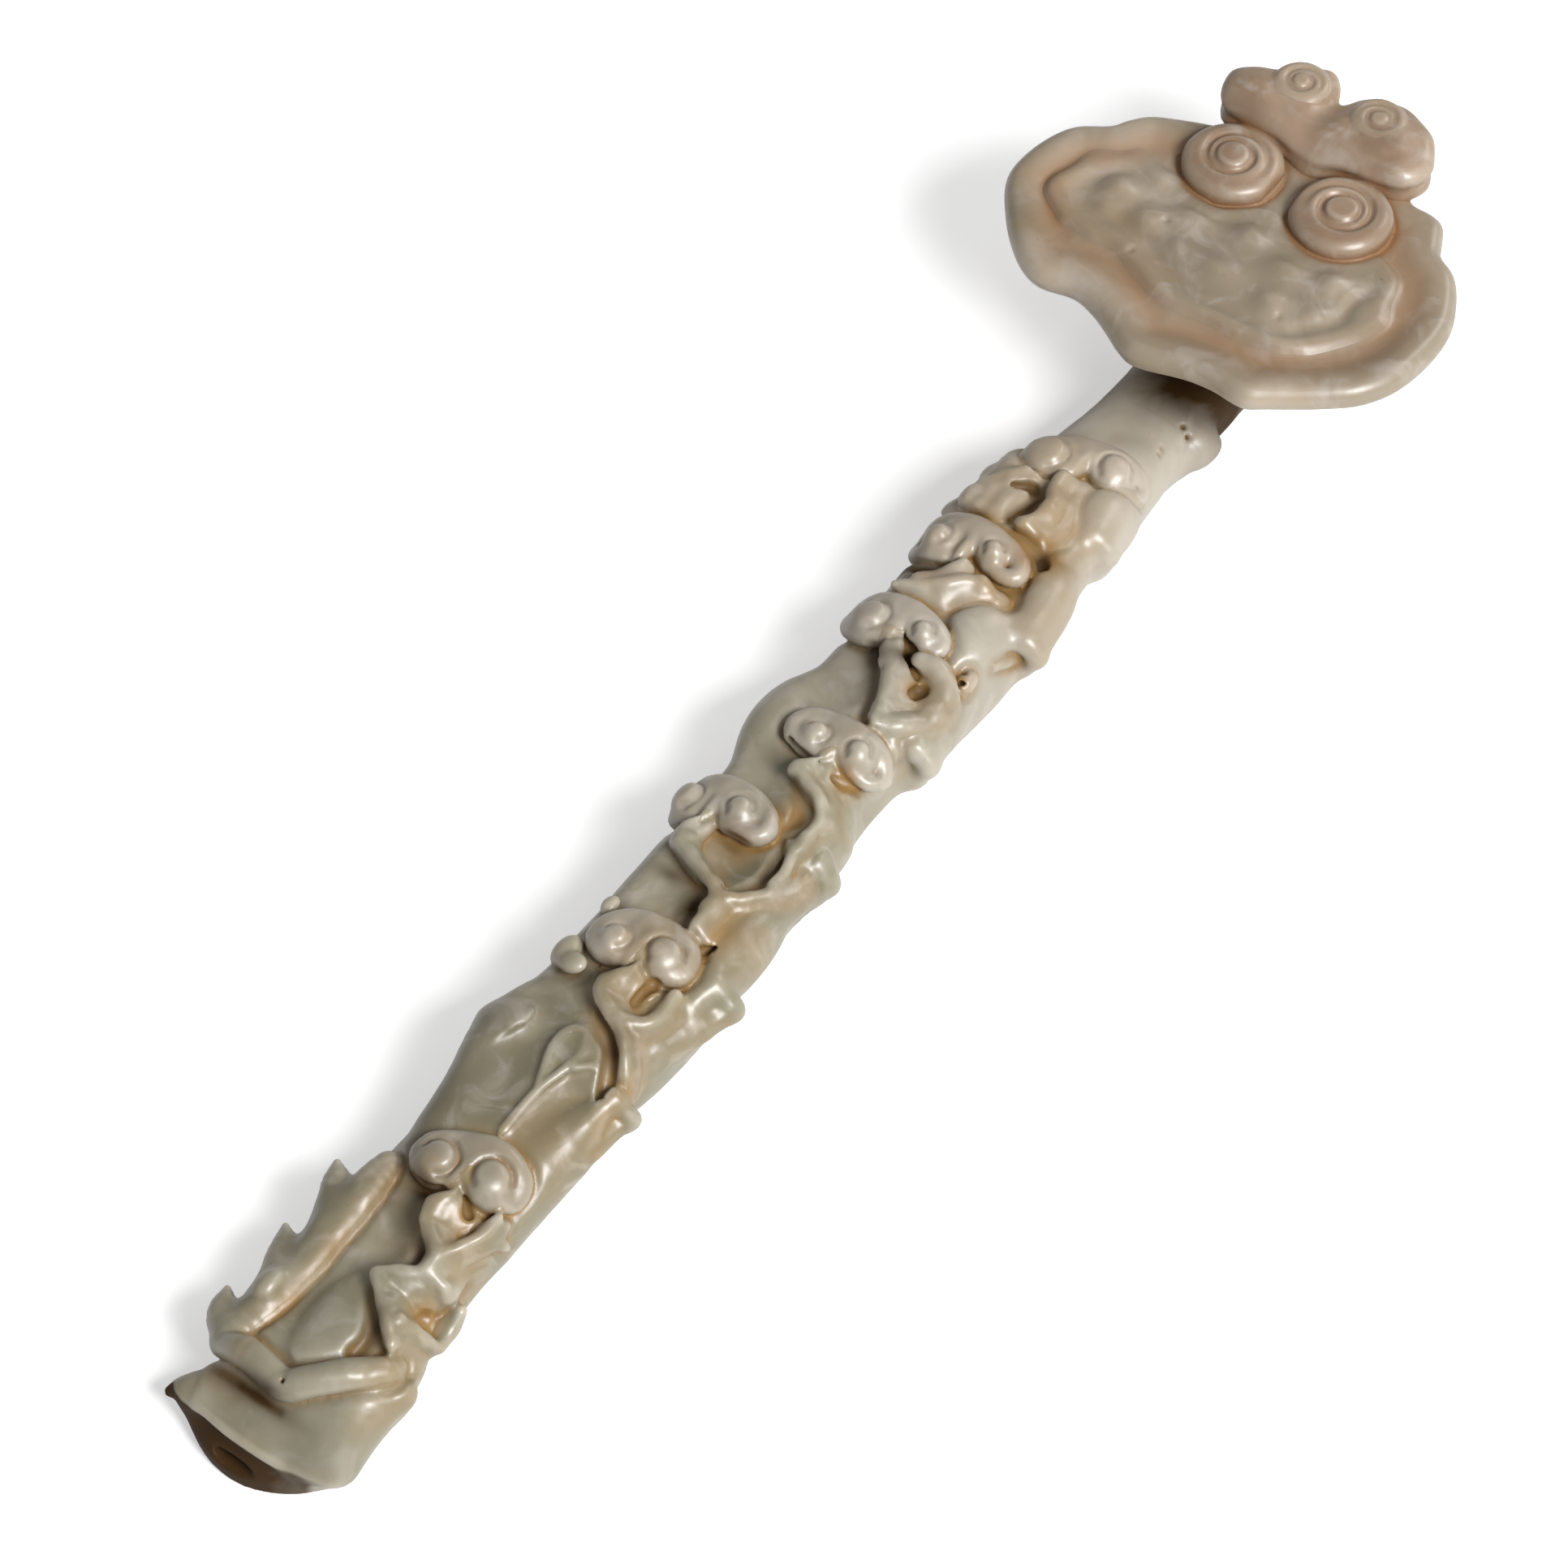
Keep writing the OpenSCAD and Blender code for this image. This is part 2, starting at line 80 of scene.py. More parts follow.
# The block of stone
# A ruyi sceptre is sawn and ground from one pebble of nephrite, so every form runs out of the
# next. Each form is drawn as a distance in millimetres, the whole is blended once, and each
# named piece is then cut from the blend where its own form is the nearest, with a closed skin.
FAR = 4.0
NOWHERE = 30.0
# stations along the sceptre are counted from the tail, this far behind the frame's middle
tail_y = 187.57


def smooth_min(a, b, k):
    """Smaller of two distances, rounded over k where they cross."""
    h = np.maximum(k - np.abs(a - b), 0) / k
    return np.minimum(a, b) - h * h * (k * 0.25)


def smooth_max(a, b, k):
    return -smooth_min(-a, -b, k)


def ease(x):
    c = np.clip(x, 0, 1)
    return c * c * (3 - 2 * c)


def ramp(start, stop, x):
    return ease((x - start) / (stop - start))


def mix(a, b, t):
    return a + (b - a) * t


def curve(ends, fine):
    """Smooth curve through all but the first and the last of some points."""
    steps = []
    for i in range(len(ends) - 3):
        a, b, c, d = ends[i:i + 4]
        for t in np.arange(fine) / fine:
            steps.append((2 * b + (c - a) * t + (2 * a - 5 * b + 4 * c - d) * t * t
                          + (3 * b - a - 3 * c + d) * t ** 3) / 2)
    return steps


class Block:
    """Box of stone on a grid of points, in millimetres."""

    def __init__(self, low, high, step):
        self.low = np.array(low, float)
        self.axes = [np.arange(a, b + step, step, dtype=np.float32) for a, b in zip(low, high)]
        self.shape = tuple(len(a) for a in self.axes)

    def grid(self, cut=(slice(None),) * 3):
        """Coordinates of the points, or of a window of them."""
        x, y, z = (a[c] for a, c in zip(self.axes, cut))
        return x[:, None, None], y[None, :, None], z[None, None, :]

    def window(self, low, high):
        """Slices of the grid between two corners, or nothing if they lie outside it."""
        cut = tuple(slice(*np.searchsorted(a, ends)) for a, ends in zip(self.axes, zip(low, high)))
        return cut if all(c.stop > c.start for c in cut) else None


CELLS = 32
lattice = np.random.default_rng(5).random((CELLS, CELLS, CELLS)).astype(np.float32) * 2 - 1


def grain(x, y, z, size):
    """Smooth uneven height from -1 to 1 with lumps of the given size."""
    cells = []
    for v in (x / size + 57, y / size + 91, z / size + 23):
        whole_part = np.floor(v)
        cells.append((whole_part.astype(int), ease(v - whole_part)))
    total = 0
    for corner in np.ndindex(2, 2, 2):
        i, j, k = ((cell + c) % CELLS for c, (cell, _) in zip(corner, cells))
        wx, wy, wz = (share if c else 1 - share for c, (_, share) in zip(corner, cells))
        total = total + lattice[i, j, k] * (wx * wy * wz)
    return total


class Form:
    """A form left standing on the stone, or cut into it, as a union of tubes and pads."""

    def __init__(self, melt):
        self.melt = melt
        self.parts = []
        self.rings = []

    def add(self, low, high, shape):
        self.parts.append((low - FAR, high + FAR, shape))

    def tube(self, points, fine=3):
        """Rounded run through points (x, y, z, radius), on a smooth curve."""
        p = np.array(points, float)
        if len(p) > 2:
            ends = np.vstack([2 * p[0] - p[1], p, 2 * p[-1] - p[-2]])
            p = np.vstack(curve(ends, fine) + [p[-1]])

        def run(x, y, z):
            near = np.float32(NOWHERE)
            for a, b in zip(p[:-1], p[1:]):
                u = b[:3] - a[:3]
                t = ((x - a[0]) * u[0] + (y - a[1]) * u[1] + (z - a[2]) * u[2]) / max(u @ u, 1e-6)
                t = np.clip(t, 0, 1)
                gap = np.sqrt((x - a[0] - t * u[0]) ** 2 + (y - a[1] - t * u[1]) ** 2
                              + (z - a[2] - t * u[2]) ** 2)
                near = np.minimum(near, gap - (a[3] + t * (b[3] - a[3])))
            return near

        r = p[:, 3:4]
        self.add((p[:, :3] - r).min(0), (p[:, :3] + r).max(0), run)

    def pad(self, middle, radii, axes=np.eye(3)):
        """Ellipsoid, with its own three directions if they are given."""
        middle = np.array(middle, float)
        radii = np.array(radii, float)

        def swell(x, y, z):
            near = 0
            steep = 0
            for axis, r in zip(axes, radii):
                q = ((x - middle[0]) * axis[0] + (y - middle[1]) * axis[1] + (z - middle[2]) * axis[2]) / r
                near = near + q * q
                steep = steep + q * q / (r * r)
            near = np.sqrt(near)
            return near * (near - 1) / np.maximum(np.sqrt(steep), 1e-3)

        reach = np.sqrt(sum((np.abs(np.array(a)) * r) ** 2 for a, r in zip(axes, radii)))
        self.add(middle - reach, middle + reach, swell)

    def ring(self, middle, out, down, r, width, dark_mark):
        """Groove ground round a bead, open on the side it winds in from."""
        self.rings.append((middle, out, down, r, width, dark_mark))

    def field(self, block, far=FAR):
        """Distance to the form on a block's grid, no greater than far."""
        out = np.full(block.shape, far, np.float32)
        for low, high, shape in self.parts:
            cut = block.window(low, high)
            if cut:
                out[cut] = smooth_min(out[cut], shape(*block.grid(cut)).astype(np.float32), self.melt)
        for middle, axis, down, r, width, dark_mark in self.rings:
            cut = block.window(middle - r * 2.5, middle + r * 2.5)
            if cut:
                x, y, z = block.grid(cut)
                dx, dy, dz = x - middle[0], y - middle[1], z - middle[2]
                up = dx * axis[0] + dy * axis[1] + dz * axis[2]
                fall = dx * down[0] + dy * down[1] + dz * down[2]
                rho = np.sqrt(np.maximum(dx * dx + dy * dy + dz * dz - up * up, 1e-6))
                shut = 1 - ramp(0.35, 0.95, fall / rho)
                out[cut] = out[cut] + dark_mark * np.exp(-((rho - r) / width) ** 2) * shut
        return np.minimum(out, far)


# Shaft
# Arched shaft of pale celadon nephrite, rounded below and flatter above, ground with soft humps
# and thorns along its flanks and polished all over. It rests on a flat rubbed under the tail.
shaft_l, taper_l = 300, 62
tail_w, shaft_w, neck_w = 36, 30, 24
shaft_t, neck_t = 22.5, 20.5
arch_h = 9.5
# how square the section is, above and below
crown, belly = 2.7, 2.2
# the shaft's middle, and the middle that places read on the photograph are counted from
stalk_x, sight_x = 1.0, 0.8
# where the neck turns up, and how wide and thick it is there
bend_s, bend_r = 327, 15
bend_w, bend_t = 34, 24
tip_r = 0.9
forms = {}
end_rim = Form(1.2)
end_rim.tube([(x, s - tail_y, z, r) for x, s, z, r in (
    (-17.6, -0.8, 9.6, 0.9), (-12, -2.2, 10.8, 1), (-5, -3.2, 11.3, 1.1), (2.3, -3.4, 11.4, 1.1),
    (7, -2.8, 10.4, 1.1), (9.6, -2.2, 8, 1), (10.6, -1.4, 4, 0.9))])
humps = Form(3.0)
thorns = Form(2.5)
hollows = Form(3.0)
domes = Form(1.5)


def to_neck(s):
    return ramp(shaft_l - taper_l, shaft_l, s)


def half_w(s):
    return mix(mix(tail_w, shaft_w, ramp(0, 30, s)), neck_w, to_neck(s)) / 2


def half_t(s):
    return mix(0.55, 1, ramp(-4, 14, s)) * mix(shaft_t, neck_t, to_neck(s)) / 2


def centre_z(s):
    rise = arch_h * ramp(0, 110, s) * (1 - ramp(shaft_l - taper_l, shaft_l + 18, s))
    return rise + half_t(s) - 0.6


def signed(v, power):
    """Power of a number that keeps the number's sign."""
    return math.copysign(abs(v) ** power, v)


def skin(px, pz, e, s, lift):
    """Point on the shaft's section, given in shares of its half width and height, and moved outwards."""
    w, t = float(half_w(s)), float(half_t(s))
    nx, nz = signed(px, e - 1) / w, signed(pz, e - 1) / t
    n = math.hypot(nx, nz)
    z = float(centre_z(s)) + pz * t
    return np.array((stalk_x + px * w + lift * nx / n, s - tail_y, z + lift * nz / n))


def side(s, angle, lift):
    """Point on the shaft at a station, an angle round it from its right edge, and a height off it."""
    c, d = math.cos(math.radians(angle)), math.sin(math.radians(angle))
    e = crown if d > 0 else belly
    return skin(signed(c, 2 / e), signed(d, 2 / e), e, s, lift)


def on(x, s, lift=0.0):
    """Point on the shaft's upper side seen at x in the photograph's plan, with a height off it."""
    u = min(max((x + sight_x - stalk_x) / float(half_w(s)), -0.995), 0.995)
    return skin(u, (1 - abs(u) ** crown) ** (1 / crown), crown, s, lift)


def frame_at(x, s):
    """Directions across, along and out of the shaft at a point of its upper side."""
    out = on(x, s, 1) - on(x, s)
    along = on(x, s + 1) - on(x, s - 1)
    along = along - out * (along @ out)
    along = along / np.linalg.norm(along)
    return (np.cross(along, out), along, out)


def laid(points, lift, r):
    """Points of a tube laid on the shaft: (x, station), or with its own lift and radius."""
    return [(*on(p[0], p[1], p[2] if len(p) > 2 else lift), p[3] if len(p) > 3 else r) for p in points]


def cushion(form, x, s, across, along, height, lift):
    """Pad laid on the shaft, with its half sizes across, along and out of it."""
    form.pad(on(x, s, lift), (across, along, height), frame_at(x, s))


def spike(s, angle, length, r, lean):
    """Thorn that stands out from the shaft's flank and leans along it."""
    foot = side(s, angle, -r * 0.6)
    middle = side(s + lean * 0.4, angle, length * 0.4)
    tip = side(s + lean, angle, length - tip_r)
    thorns.tube([(*foot, r * 1.6), (*middle, r * 0.8), (*tip, tip_r)], 4)


def shoulder(s0, s1, angle, out, r, spread=1.0):
    """Flank that swells out along the shaft and ends in a step, with an edge round the step."""
    edge_r, waist_r, waist = 1.8, 2.4, 0.6
    edge = []
    for swing, share in ((-22 * spread, 0.35 ** spread), (0, 1.0), (20 * spread, 0.6 ** spread)):
        stand = out * share
        edge.append((*side(s1 - 1, angle + swing, stand - edge_r), edge_r))
        lift = mix(-r, stand - waist_r, waist)
        middle = (*side(mix(s0, s1, waist), angle + swing, lift), mix(r, waist_r, waist))
        thorns.tube([(*side(s0, angle + swing, -r - 1), r), middle, edge[-1]])
    first, last = ((*side(s1 - 1, angle + swing * spread, -edge_r), edge_r) for swing in (-40, 36))
    thorns.tube([first, *edge, last])


def worm(x, y, z):
    """Distance to the plain shaft and neck, with the neck's turn up into the head."""
    s = y + tail_y
    flat = np.minimum(s, bend_s)
    w = half_w(flat)
    t = half_t(flat)
    hub = float(centre_z(bend_s)) + bend_r
    ahead = np.maximum(s - bend_s, 0)
    below = hub - z
    bent = np.where(below > 0, bend_r - np.hypot(ahead, np.maximum(below, 0)), bend_r - ahead)
    tip = np.where(below > 0, np.degrees(np.arctan2(ahead, np.maximum(below, 1e-3))), 90.0)
    turned = (s > bend_s) | ((below < 0) & (s > bend_s - bend_r))
    share = ease(tip / 90)
    climbed = np.clip(-below / 12.4, 0, 1)
    w = np.where(turned, mix(mix(neck_w, bend_w, share * 0.6), bend_w, climbed) / 2, w)
    t = np.where(turned, mix(mix(neck_t, bend_t, share * 0.5), bend_t, climbed) / 2, t)
    up = np.where(turned, bent, z - centre_z(flat))
    px = np.abs((x - stalk_x) / w) + 1e-4
    pz = np.abs(up / t) + 1e-4
    e = np.where(up > 0, crown, belly)
    g = (px ** e + pz ** e) ** (1 / e)
    slope = np.sqrt((px ** (e - 1) / w) ** 2 + (pz ** (e - 1) / t) ** 2) * g ** (1 - e)
    return np.maximum((g - 1) / slope, z - neck_top)


def stalk(block):
    """The shaft and neck with their humps, hollows, thorns and the ground end of the tail."""
    x, y, z = block.grid()
    s = y + tail_y
    body = np.minimum(worm(x, y, z), NOWHERE).astype(np.float32)
    body = body + 0.35 * grain(x, y, z, 11.0) * ramp(2, 12, s) + 0.12 * grain(x, y, z, 4.5)
    across = x - sight_x
    heel = mix(-3.8 + across ** 2 / 110, -7.2 + (across + 4) ** 2 / 38, ramp(10.0, 4.0, z))
    body = smooth_max(body, heel - s, 1.4)
    body = smooth_min(body, end_rim.field(block), 1.4)
    body = smooth_min(body, humps.field(block), 4.0)
    body = smooth_max(body, -hollows.field(block), 5.0)
    body = smooth_min(body, domes.field(block), 3.6)
    return smooth_min(body, thorns.field(block), 3.5)


# soft humps and long facets: station, angle, lift, half sizes
for s, angle, lift, radii in (
        (184, 163, -3.5, (8, 14, 7)), (92, 158, -3, (6.5, 12, 6)), (20, 10, -3, (6, 12, 7)),
        (132, 12, -2.2, (7, 18, 8)), (162, 14, -3, (6, 10, 7)), (202, 18, -3.4, (7, 9, 7)),
        (266, 22, -3.5, (7.5, 11, 8)), (262, 155, -3, (6.5, 12, 7)), (60, 200, -3, (6, 20, 6)),
        (150, 205, -3, (6, 16, 6)), (235, 200, -3, (6, 16, 6)), (110, 330, -3, (6, 20, 6)),
        (220, 335, -3, (6, 22, 6)), (238, 24, -0.8, (6.5, 11, 6))):
    humps.pad(side(s, angle, lift), radii)
cushion(humps, -8, 91, 3.2, 8.5, 2, 0.2)
cushion(domes, 10.2, 222.5, 6.2, 8.6, 3.6, -1.2)
cushion(domes, 0.2, 23.5, 5, 10.5, 2.6, -2.4)
# hollows beside the sprigs: x, station, half sizes, lift
for hollow in (
        (-3.5, 30, 6.5, 22, 4, 1.2), (-5, 48, 5, 10, 2.4, 0.6), (10, 79, 7.5, 14, 2.6, 1),
        (-5.5, 77, 5, 18, 2, 0.9), (-4, 132, 5.5, 8, 2.6, 0.5), (2.5, 147, 6.2, 5.5, 3.6, 0.6),
        (-5, 170, 5.5, 9, 2.6, 0.5), (-6, 197, 6, 10, 2.4, 0.5), (8.5, 228, 4.5, 9, 1.8, 0.4),
        (-2.5, 257, 4, 5.5, 3, 0.3), (-6, 103, 4.5, 8, 1.6, 0.3)):
    cushion(hollows, *hollow)
hollows.pad(side(182, 4, 2.2), (4.4, 10, 7))
# thorns and shoulders along both flanks
spike(1.0, 172, 4.5, 2.6, -3)
for flank_step in (
        (5, 21, 12, 4.4, 4.6), (58, 91.5, 6, 5.4, 7), (94, 122.5, 8, 7.6, 7),
        (140, 158, 8, 5.2, 6), (217, 193.5, 10, 5, 5), (258, 229.5, 8, 7, 5, 0.6),
        (286, 261.5, 14, 4.6, 5), (70, 93, 168, 3.6, 6)):
    shoulder(*flank_step)
spike(252, 172, 4.0, 3.0, -2)
spike(270, 165, 3.6, 2.8, 3)

# Neck
# Plain neck, round in section, that runs level and turns up into the head. Its underside has
# the second flat, and where it goes in under the head it is dark brown: partly the stone's brown
# skin and partly painted shadow of the head.
neck_top = 39.5
humps.pad((stalk_x, bend_s - tail_y + 4, 12), (13, 8, 9))
spike(303, 8, 3.0, 4.0, 4)

# Head: plate with its lip
# Cloud-shaped plate with a rolled lip and a warm groove inside it. The outline is the carver's:
# it isn't even, with a broad front lobe and a back that opens for the scrolls and the crest.
field_z, plate_low = 43.0, 37.0
head_y = 332.0 - tail_y
# the head's forms are left out of blocks that end before this y
head_from = 88
scale_x, scale_y = 0.9866, 0.9831
plate_edge = [
    (0.8, -38), (11, -35.5), (18, -35), (26, -35.5), (31, -32.5), (41, -25.5), (47, -20), (51, -12),
    (52.2, -2), (51.3, 8), (48, 16), (44, 21.5), (39, 24.5), (37, 28), (34.5, 32.5), (31, 34), (26, 34.5),
    (22, 37.5), (22.3, 42), (20, 46), (14, 50.5), (7, 50), (2, 47.5), (-3, 49), (-7, 51), (-13, 48),
    (-20, 44.5), (-23, 41), (-22.5, 36.5), (-20, 31.5), (-27, 28), (-35, 23.5), (-38.7, 19), (-41, 15),
    (-47.2, 10), (-50.7, 3), (-52.2, -5), (-51, -11), (-46.2, -18), (-41, -24), (-35, -29), (-29, -31),
    (-21, -29.5), (-15, -31), (-10, -33.5), (-4, -37)]


def rounded(points, dx, dy):
    """Smooth closed outline through points, at the head's scale and place."""
    ends = np.array(points[-1:] + points + points[:2], float)
    return np.array(curve(ends, 4)) * (scale_x, scale_y) + (dx, dy)


def inside(outline, x, y):
    """Signed distance in plan to an outline, negative within it."""
    x, y = np.broadcast_arrays(x, y)
    near = np.full(x.shape, 1e9)
    odd = np.zeros(x.shape, bool)
    for (ax, ay), (bx, by) in zip(outline, np.roll(outline, -1, 0)):
        ux, uy = bx - ax, by - ay
        t = np.clip(((x - ax) * ux + (y - ay) * uy) / (ux * ux + uy * uy + 1e-9), 0, 1)
        near = np.minimum(near, (x - ax - t * ux) ** 2 + (y - ay - t * uy) ** 2)
        if uy != 0:
            odd ^= ((ay > y) != (by > y)) & (x < ax + ux * (y - ay) / uy)
    return np.where(odd, -np.sqrt(near), np.sqrt(near)).astype(np.float32)


def dome(x, y, cx, cy, rx, ry):
    """Soft bump in plan, 1 at its middle."""
    return np.exp(-(((x - cx) / rx) ** 2 + ((y - cy) / ry) ** 2))


def rim(e, at, width):
    """Soft ridge, 1 high, at a depth inside an outline."""
    return np.exp(-((e - at) / width) ** 2)


def waves(x, y, size):
    """Uneven height that is the same from top to bottom."""
    return grain(x, y, 0 * x, size)


def slab(d, z, top, low, r):
    """Distance to a slab with an outline d, between two heights, with rounded edges."""
    half = (top - low) / 2
    q = np.abs(z - (top + low) / 2) - half + r
    p = d + r
    return np.hypot(np.maximum(q, 0), np.maximum(p, 0)) - r + np.minimum(np.maximum(p, q), 0)


plate_line = rounded(plate_edge, 0, head_y)


def plate_form(block):
    x, y, z = block.grid()
    d = inside(plate_line, x, y)
    e = -d + 0.5 * waves(x, y, 12.0)
    fade = 1 - ramp(-8, 30, y - head_y) * 0.55
    lip = 1.1 * fade * rim(e, 4.2, 4.0)
    groove = -0.7 * rim(e, 10.0, 3.2) * fade
    wave = 1.1 * waves(x, y, 22.0) * (1 - ramp(0, 18, e))
    top = field_z + lip + groove + wave
    low = plate_low + 0.9 * (1 - ramp(0, 9, e)) + wave - 0.6 * ramp(10, 30, e)
    return slab(d, z, top, low, 2.7)


forms["head_plate"] = plate_form

# Head: raised cloud
# Low cloud on the plate's field, with a wavy double lip along its front and soft domes between,
# rubbed pale and glassy. It runs up under the scrolls.
cloud_edge = [
    (0, -13.5), (8, -13), (18, -11.5), (27, -8), (33, -2.5), (37.5, 5), (38, 14), (35.5, 22), (31, 26),
    (25, 25.5), (16, 22), (8, 21.5), (1.5, 24), (-4, 21.5), (-13, 20), (-23, 22.5), (-30, 23), (-36, 20),
    (-41.5, 13), (-43, 5), (-40.5, -2), (-35, -6), (-28, -6.5), (-21, -6), (-15, -8.5), (-8, -12)]
pair_x, pair_apart = 2.3, 13.8
pair_y = head_y + 19.5 * scale_y
cloud_line = rounded(cloud_edge, 0.8, head_y - 10 * scale_y)
cloud_domes = [
    (-28.5, 331.5, 4.4, 3.8, 2), (-28, 324.5, 3.6, 3.2, 1.2), (-18.5, 326.5, 4.2, 4, 1.6),
    (-11, 333.5, 5, 4.2, 1.8), (2.5, 335.5, 4.4, 4, 1.8), (13.5, 331.5, 4.4, 3.6, 1.6),
    (24, 334, 4.4, 4.2, 2), (2, 323, 7, 3.8, 2), (16, 322, 4, 3.4, 1.7), (24.5, 325, 3.6, 3, 1.4),
    (-21, 338.5, 6, 3.4, 1.4), (-9, 323, 4.2, 3.6, 1.2)]
cloud_pits = [(-14.6, 328.5, 0.8, 0.6), (15.8, 307.5, 1.2, 0.9), (19.5, 319.5, 0.9, 0.5),
              (-16.5, 317.5, 0.8, 0.5)]


def cloud_form(block):
    x, y, z = block.grid()
    px, s = x - sight_x, y + tail_y
    d = inside(cloud_line, x, y) + 1.8 * waves(x, y, 8.0)
    e = -d
    front = 1 - ramp(330, 345, s)
    ridge = rim(e, 3.2, 2.4) * (0.3 + 0.7 * front)
    second = 0.7 * rim(e + waves(x, y, 9.0), 7.0, 1.6) * front * ramp(-6, 6, px)
    trough = -0.4 * rim(e, 6.4, 1.8) * front
    mound = 1.2 * ramp(5, 15, e)
    off = [np.hypot(x - (pair_x + hand * pair_apart), y - pair_y) for hand in (1, -1)]
    clear = ramp(9, 19, np.minimum(*off))
    top = field_z + 0.5 + (ridge + second + trough + mound) * clear
    for cx, cy, rx, ry, h in cloud_domes:
        top = top + h * clear * dome(px, s, cx, cy, rx, ry)
    for cx, cy, r, h in cloud_pits:
        top = top - h * dome(px, s, cx, cy, r, r)
    top = top - ramp(345, 356, s)
    return slab(d, z, top, field_z - 4, 2.2)


forms["head_cloud"] = cloud_form


# Head: the two scrolls
# A flat band winds in to a round boss, warm in colour, with brown left round its foot. The
# left scroll is the mirror image of the right one and both rise above the cloud.
def scroll(block, cx, hand, cy, r, boss, base, high, width):
    x, y, z = block.grid()
    dx = (x - cx) * hand
    dy = y - cy
    rho = np.hypot(dx, dy)
    wound_from = 150
    lap = np.mod(np.degrees(np.arctan2(dy, dx)) - wound_from, 360) / 360
    dip = 0
    for k in (-1, 0, 1):
        wound = lap + k
        line = boss + width * 0.4 + (r - boss) * 0.46 * wound
        dip = dip + rim(rho, line, width) * ramp(-0.25, 0.05, wound) * (1 - ramp(0.8, 1.25, wound))
    dip = np.minimum(dip + 0.6 * rim(rho, boss + width * 0.3, width * 0.8), 1)
    slope = -0.18 * high * ramp(r * 0.45, r, rho)
    top = base + high * 0.92 + slope - width * 1.3 * dip + 0.08 * high * ramp(boss + 0.4, boss - 0.6, rho)
    return slab(rho - r + 0.3 * grain(x, y, z, 6.0), z, top, base - 3, min(2.2, high * 0.6))


def scroll_pair(kind, middle, apart, *shape):
    """A right scroll and its mirror image on the left."""
    for which, hand in (("right", 1), ("left", -1)):
        cx = middle + hand * apart
        forms[f"{kind}_{which}"] = lambda block, cx=cx, hand=hand: scroll(block, cx, hand, *shape)


scroll_pair("volute", pair_x, pair_apart, pair_y, 11, 3.9, field_z, 5.2, 0.85)

# Head: crest and its curls
# Thick two-lobed crest at the back of the head, left higher than the scrolls, with a small curl
# wound on each lobe and a soft groove between the two.
crest_edge = [
    (1.5, -13), (9, -10.5), (17, -9.5), (23, -7.5), (25.5, -1.5), (23, 4.5), (19.5, 8), (13, 10.5),
    (6, 9.5), (3, 8), (-1, 5), (-4, 9), (-7, 11), (-12, 8.5), (-17, 5), (-22, 2.5), (-25.5, -2),
    (-22.5, -9), (-16, -10.5), (-8, -10.5)]
crest_x, crest_y = 1, head_y + 40 * scale_y
crest_line = rounded(crest_edge, crest_x, crest_y)


def crest_form(block):
    x, y, z = block.grid()
    px, s = x - sight_x, y + tail_y
    d = inside(crest_line, x, y) + 0.4 * grain(x, y, z, 7.0)
    top = field_z + 9.6 - 1.4 * ramp(8, 0, -d) + 0.5 * waves(x, y, 9.0)
    top = top - 1.8 * dome(px, s, -1, 372, 3.5, 9) - 3.0 * (1 - ramp(358, 365, s))
    waist = 0.9 * rim(z, field_z + 3.0, 1.8) - 0.3
    return slab(d + waist, z, top, np.float32(field_z - 0.8), 2.6)


forms["crest"] = crest_form
scroll_pair("crest_curl", crest_x, 9.8, crest_y + 2.5 * scale_y, 6.4, 2.1, field_z + 8.0, 2.4, 0.6)

# Tail bar and thorny branch
# A twig lies across the tail, undercut along its lower edge, with a bored knot at its lowest
# point. A thicker thorny branch runs up from its left end, over the shaft's edge.
bar = forms["tail_bar"] = Form(0.8)
bar.tube(laid([(-15.5, 9.2, 0.2, 2.8), (-9, 8.4, 1, 3.2), (-4, 7.8), (0.8, 7.2, 1.2, 3.3),
               (5, 10, 1.1, 3.2), (9.5, 14.5), (13.2, 19.5), (14.2, 22.5, 0.2, 2.6)], 1, 3.2))
cushion(bar, 1, 6.8, 3.4, 3, 2.4, 2)

branch = forms["tail_branch"] = Form(2.4)
branch.tube([(*side(s, angle, lift), r) for s, angle, lift, r in (
    (9.5, 152, -0.4, 3.2), (15, 156, -0.8, 4.4), (21, 157, -1, 5), (28, 158, -1, 4.9),
    (35, 158, -1, 4.8), (42, 157, -1, 4.7), (49, 155, -1, 4.4), (55, 152, -1.2, 3.4))])
for s, back in ((14, 2), (30.5, 8), (46.5, 8)):
    branch.tube([(*side(s - back, 164, 0), 4.2), (*side(s, 168, 4), 3.4),
                 (*side(s + 4.5, 170, 7.6), tip_r)], 4)
cushion(branch, -12.6, 21.5, 2.4, 3.4, 2, 3)

# Seven sprigs
# The stems of the lingzhi climb the shaft in a zigzag, with a knuckle at each turn and forks
# that close round a hollow. They are left standing three or four millimetres high.
undercuts = Form(0.8)
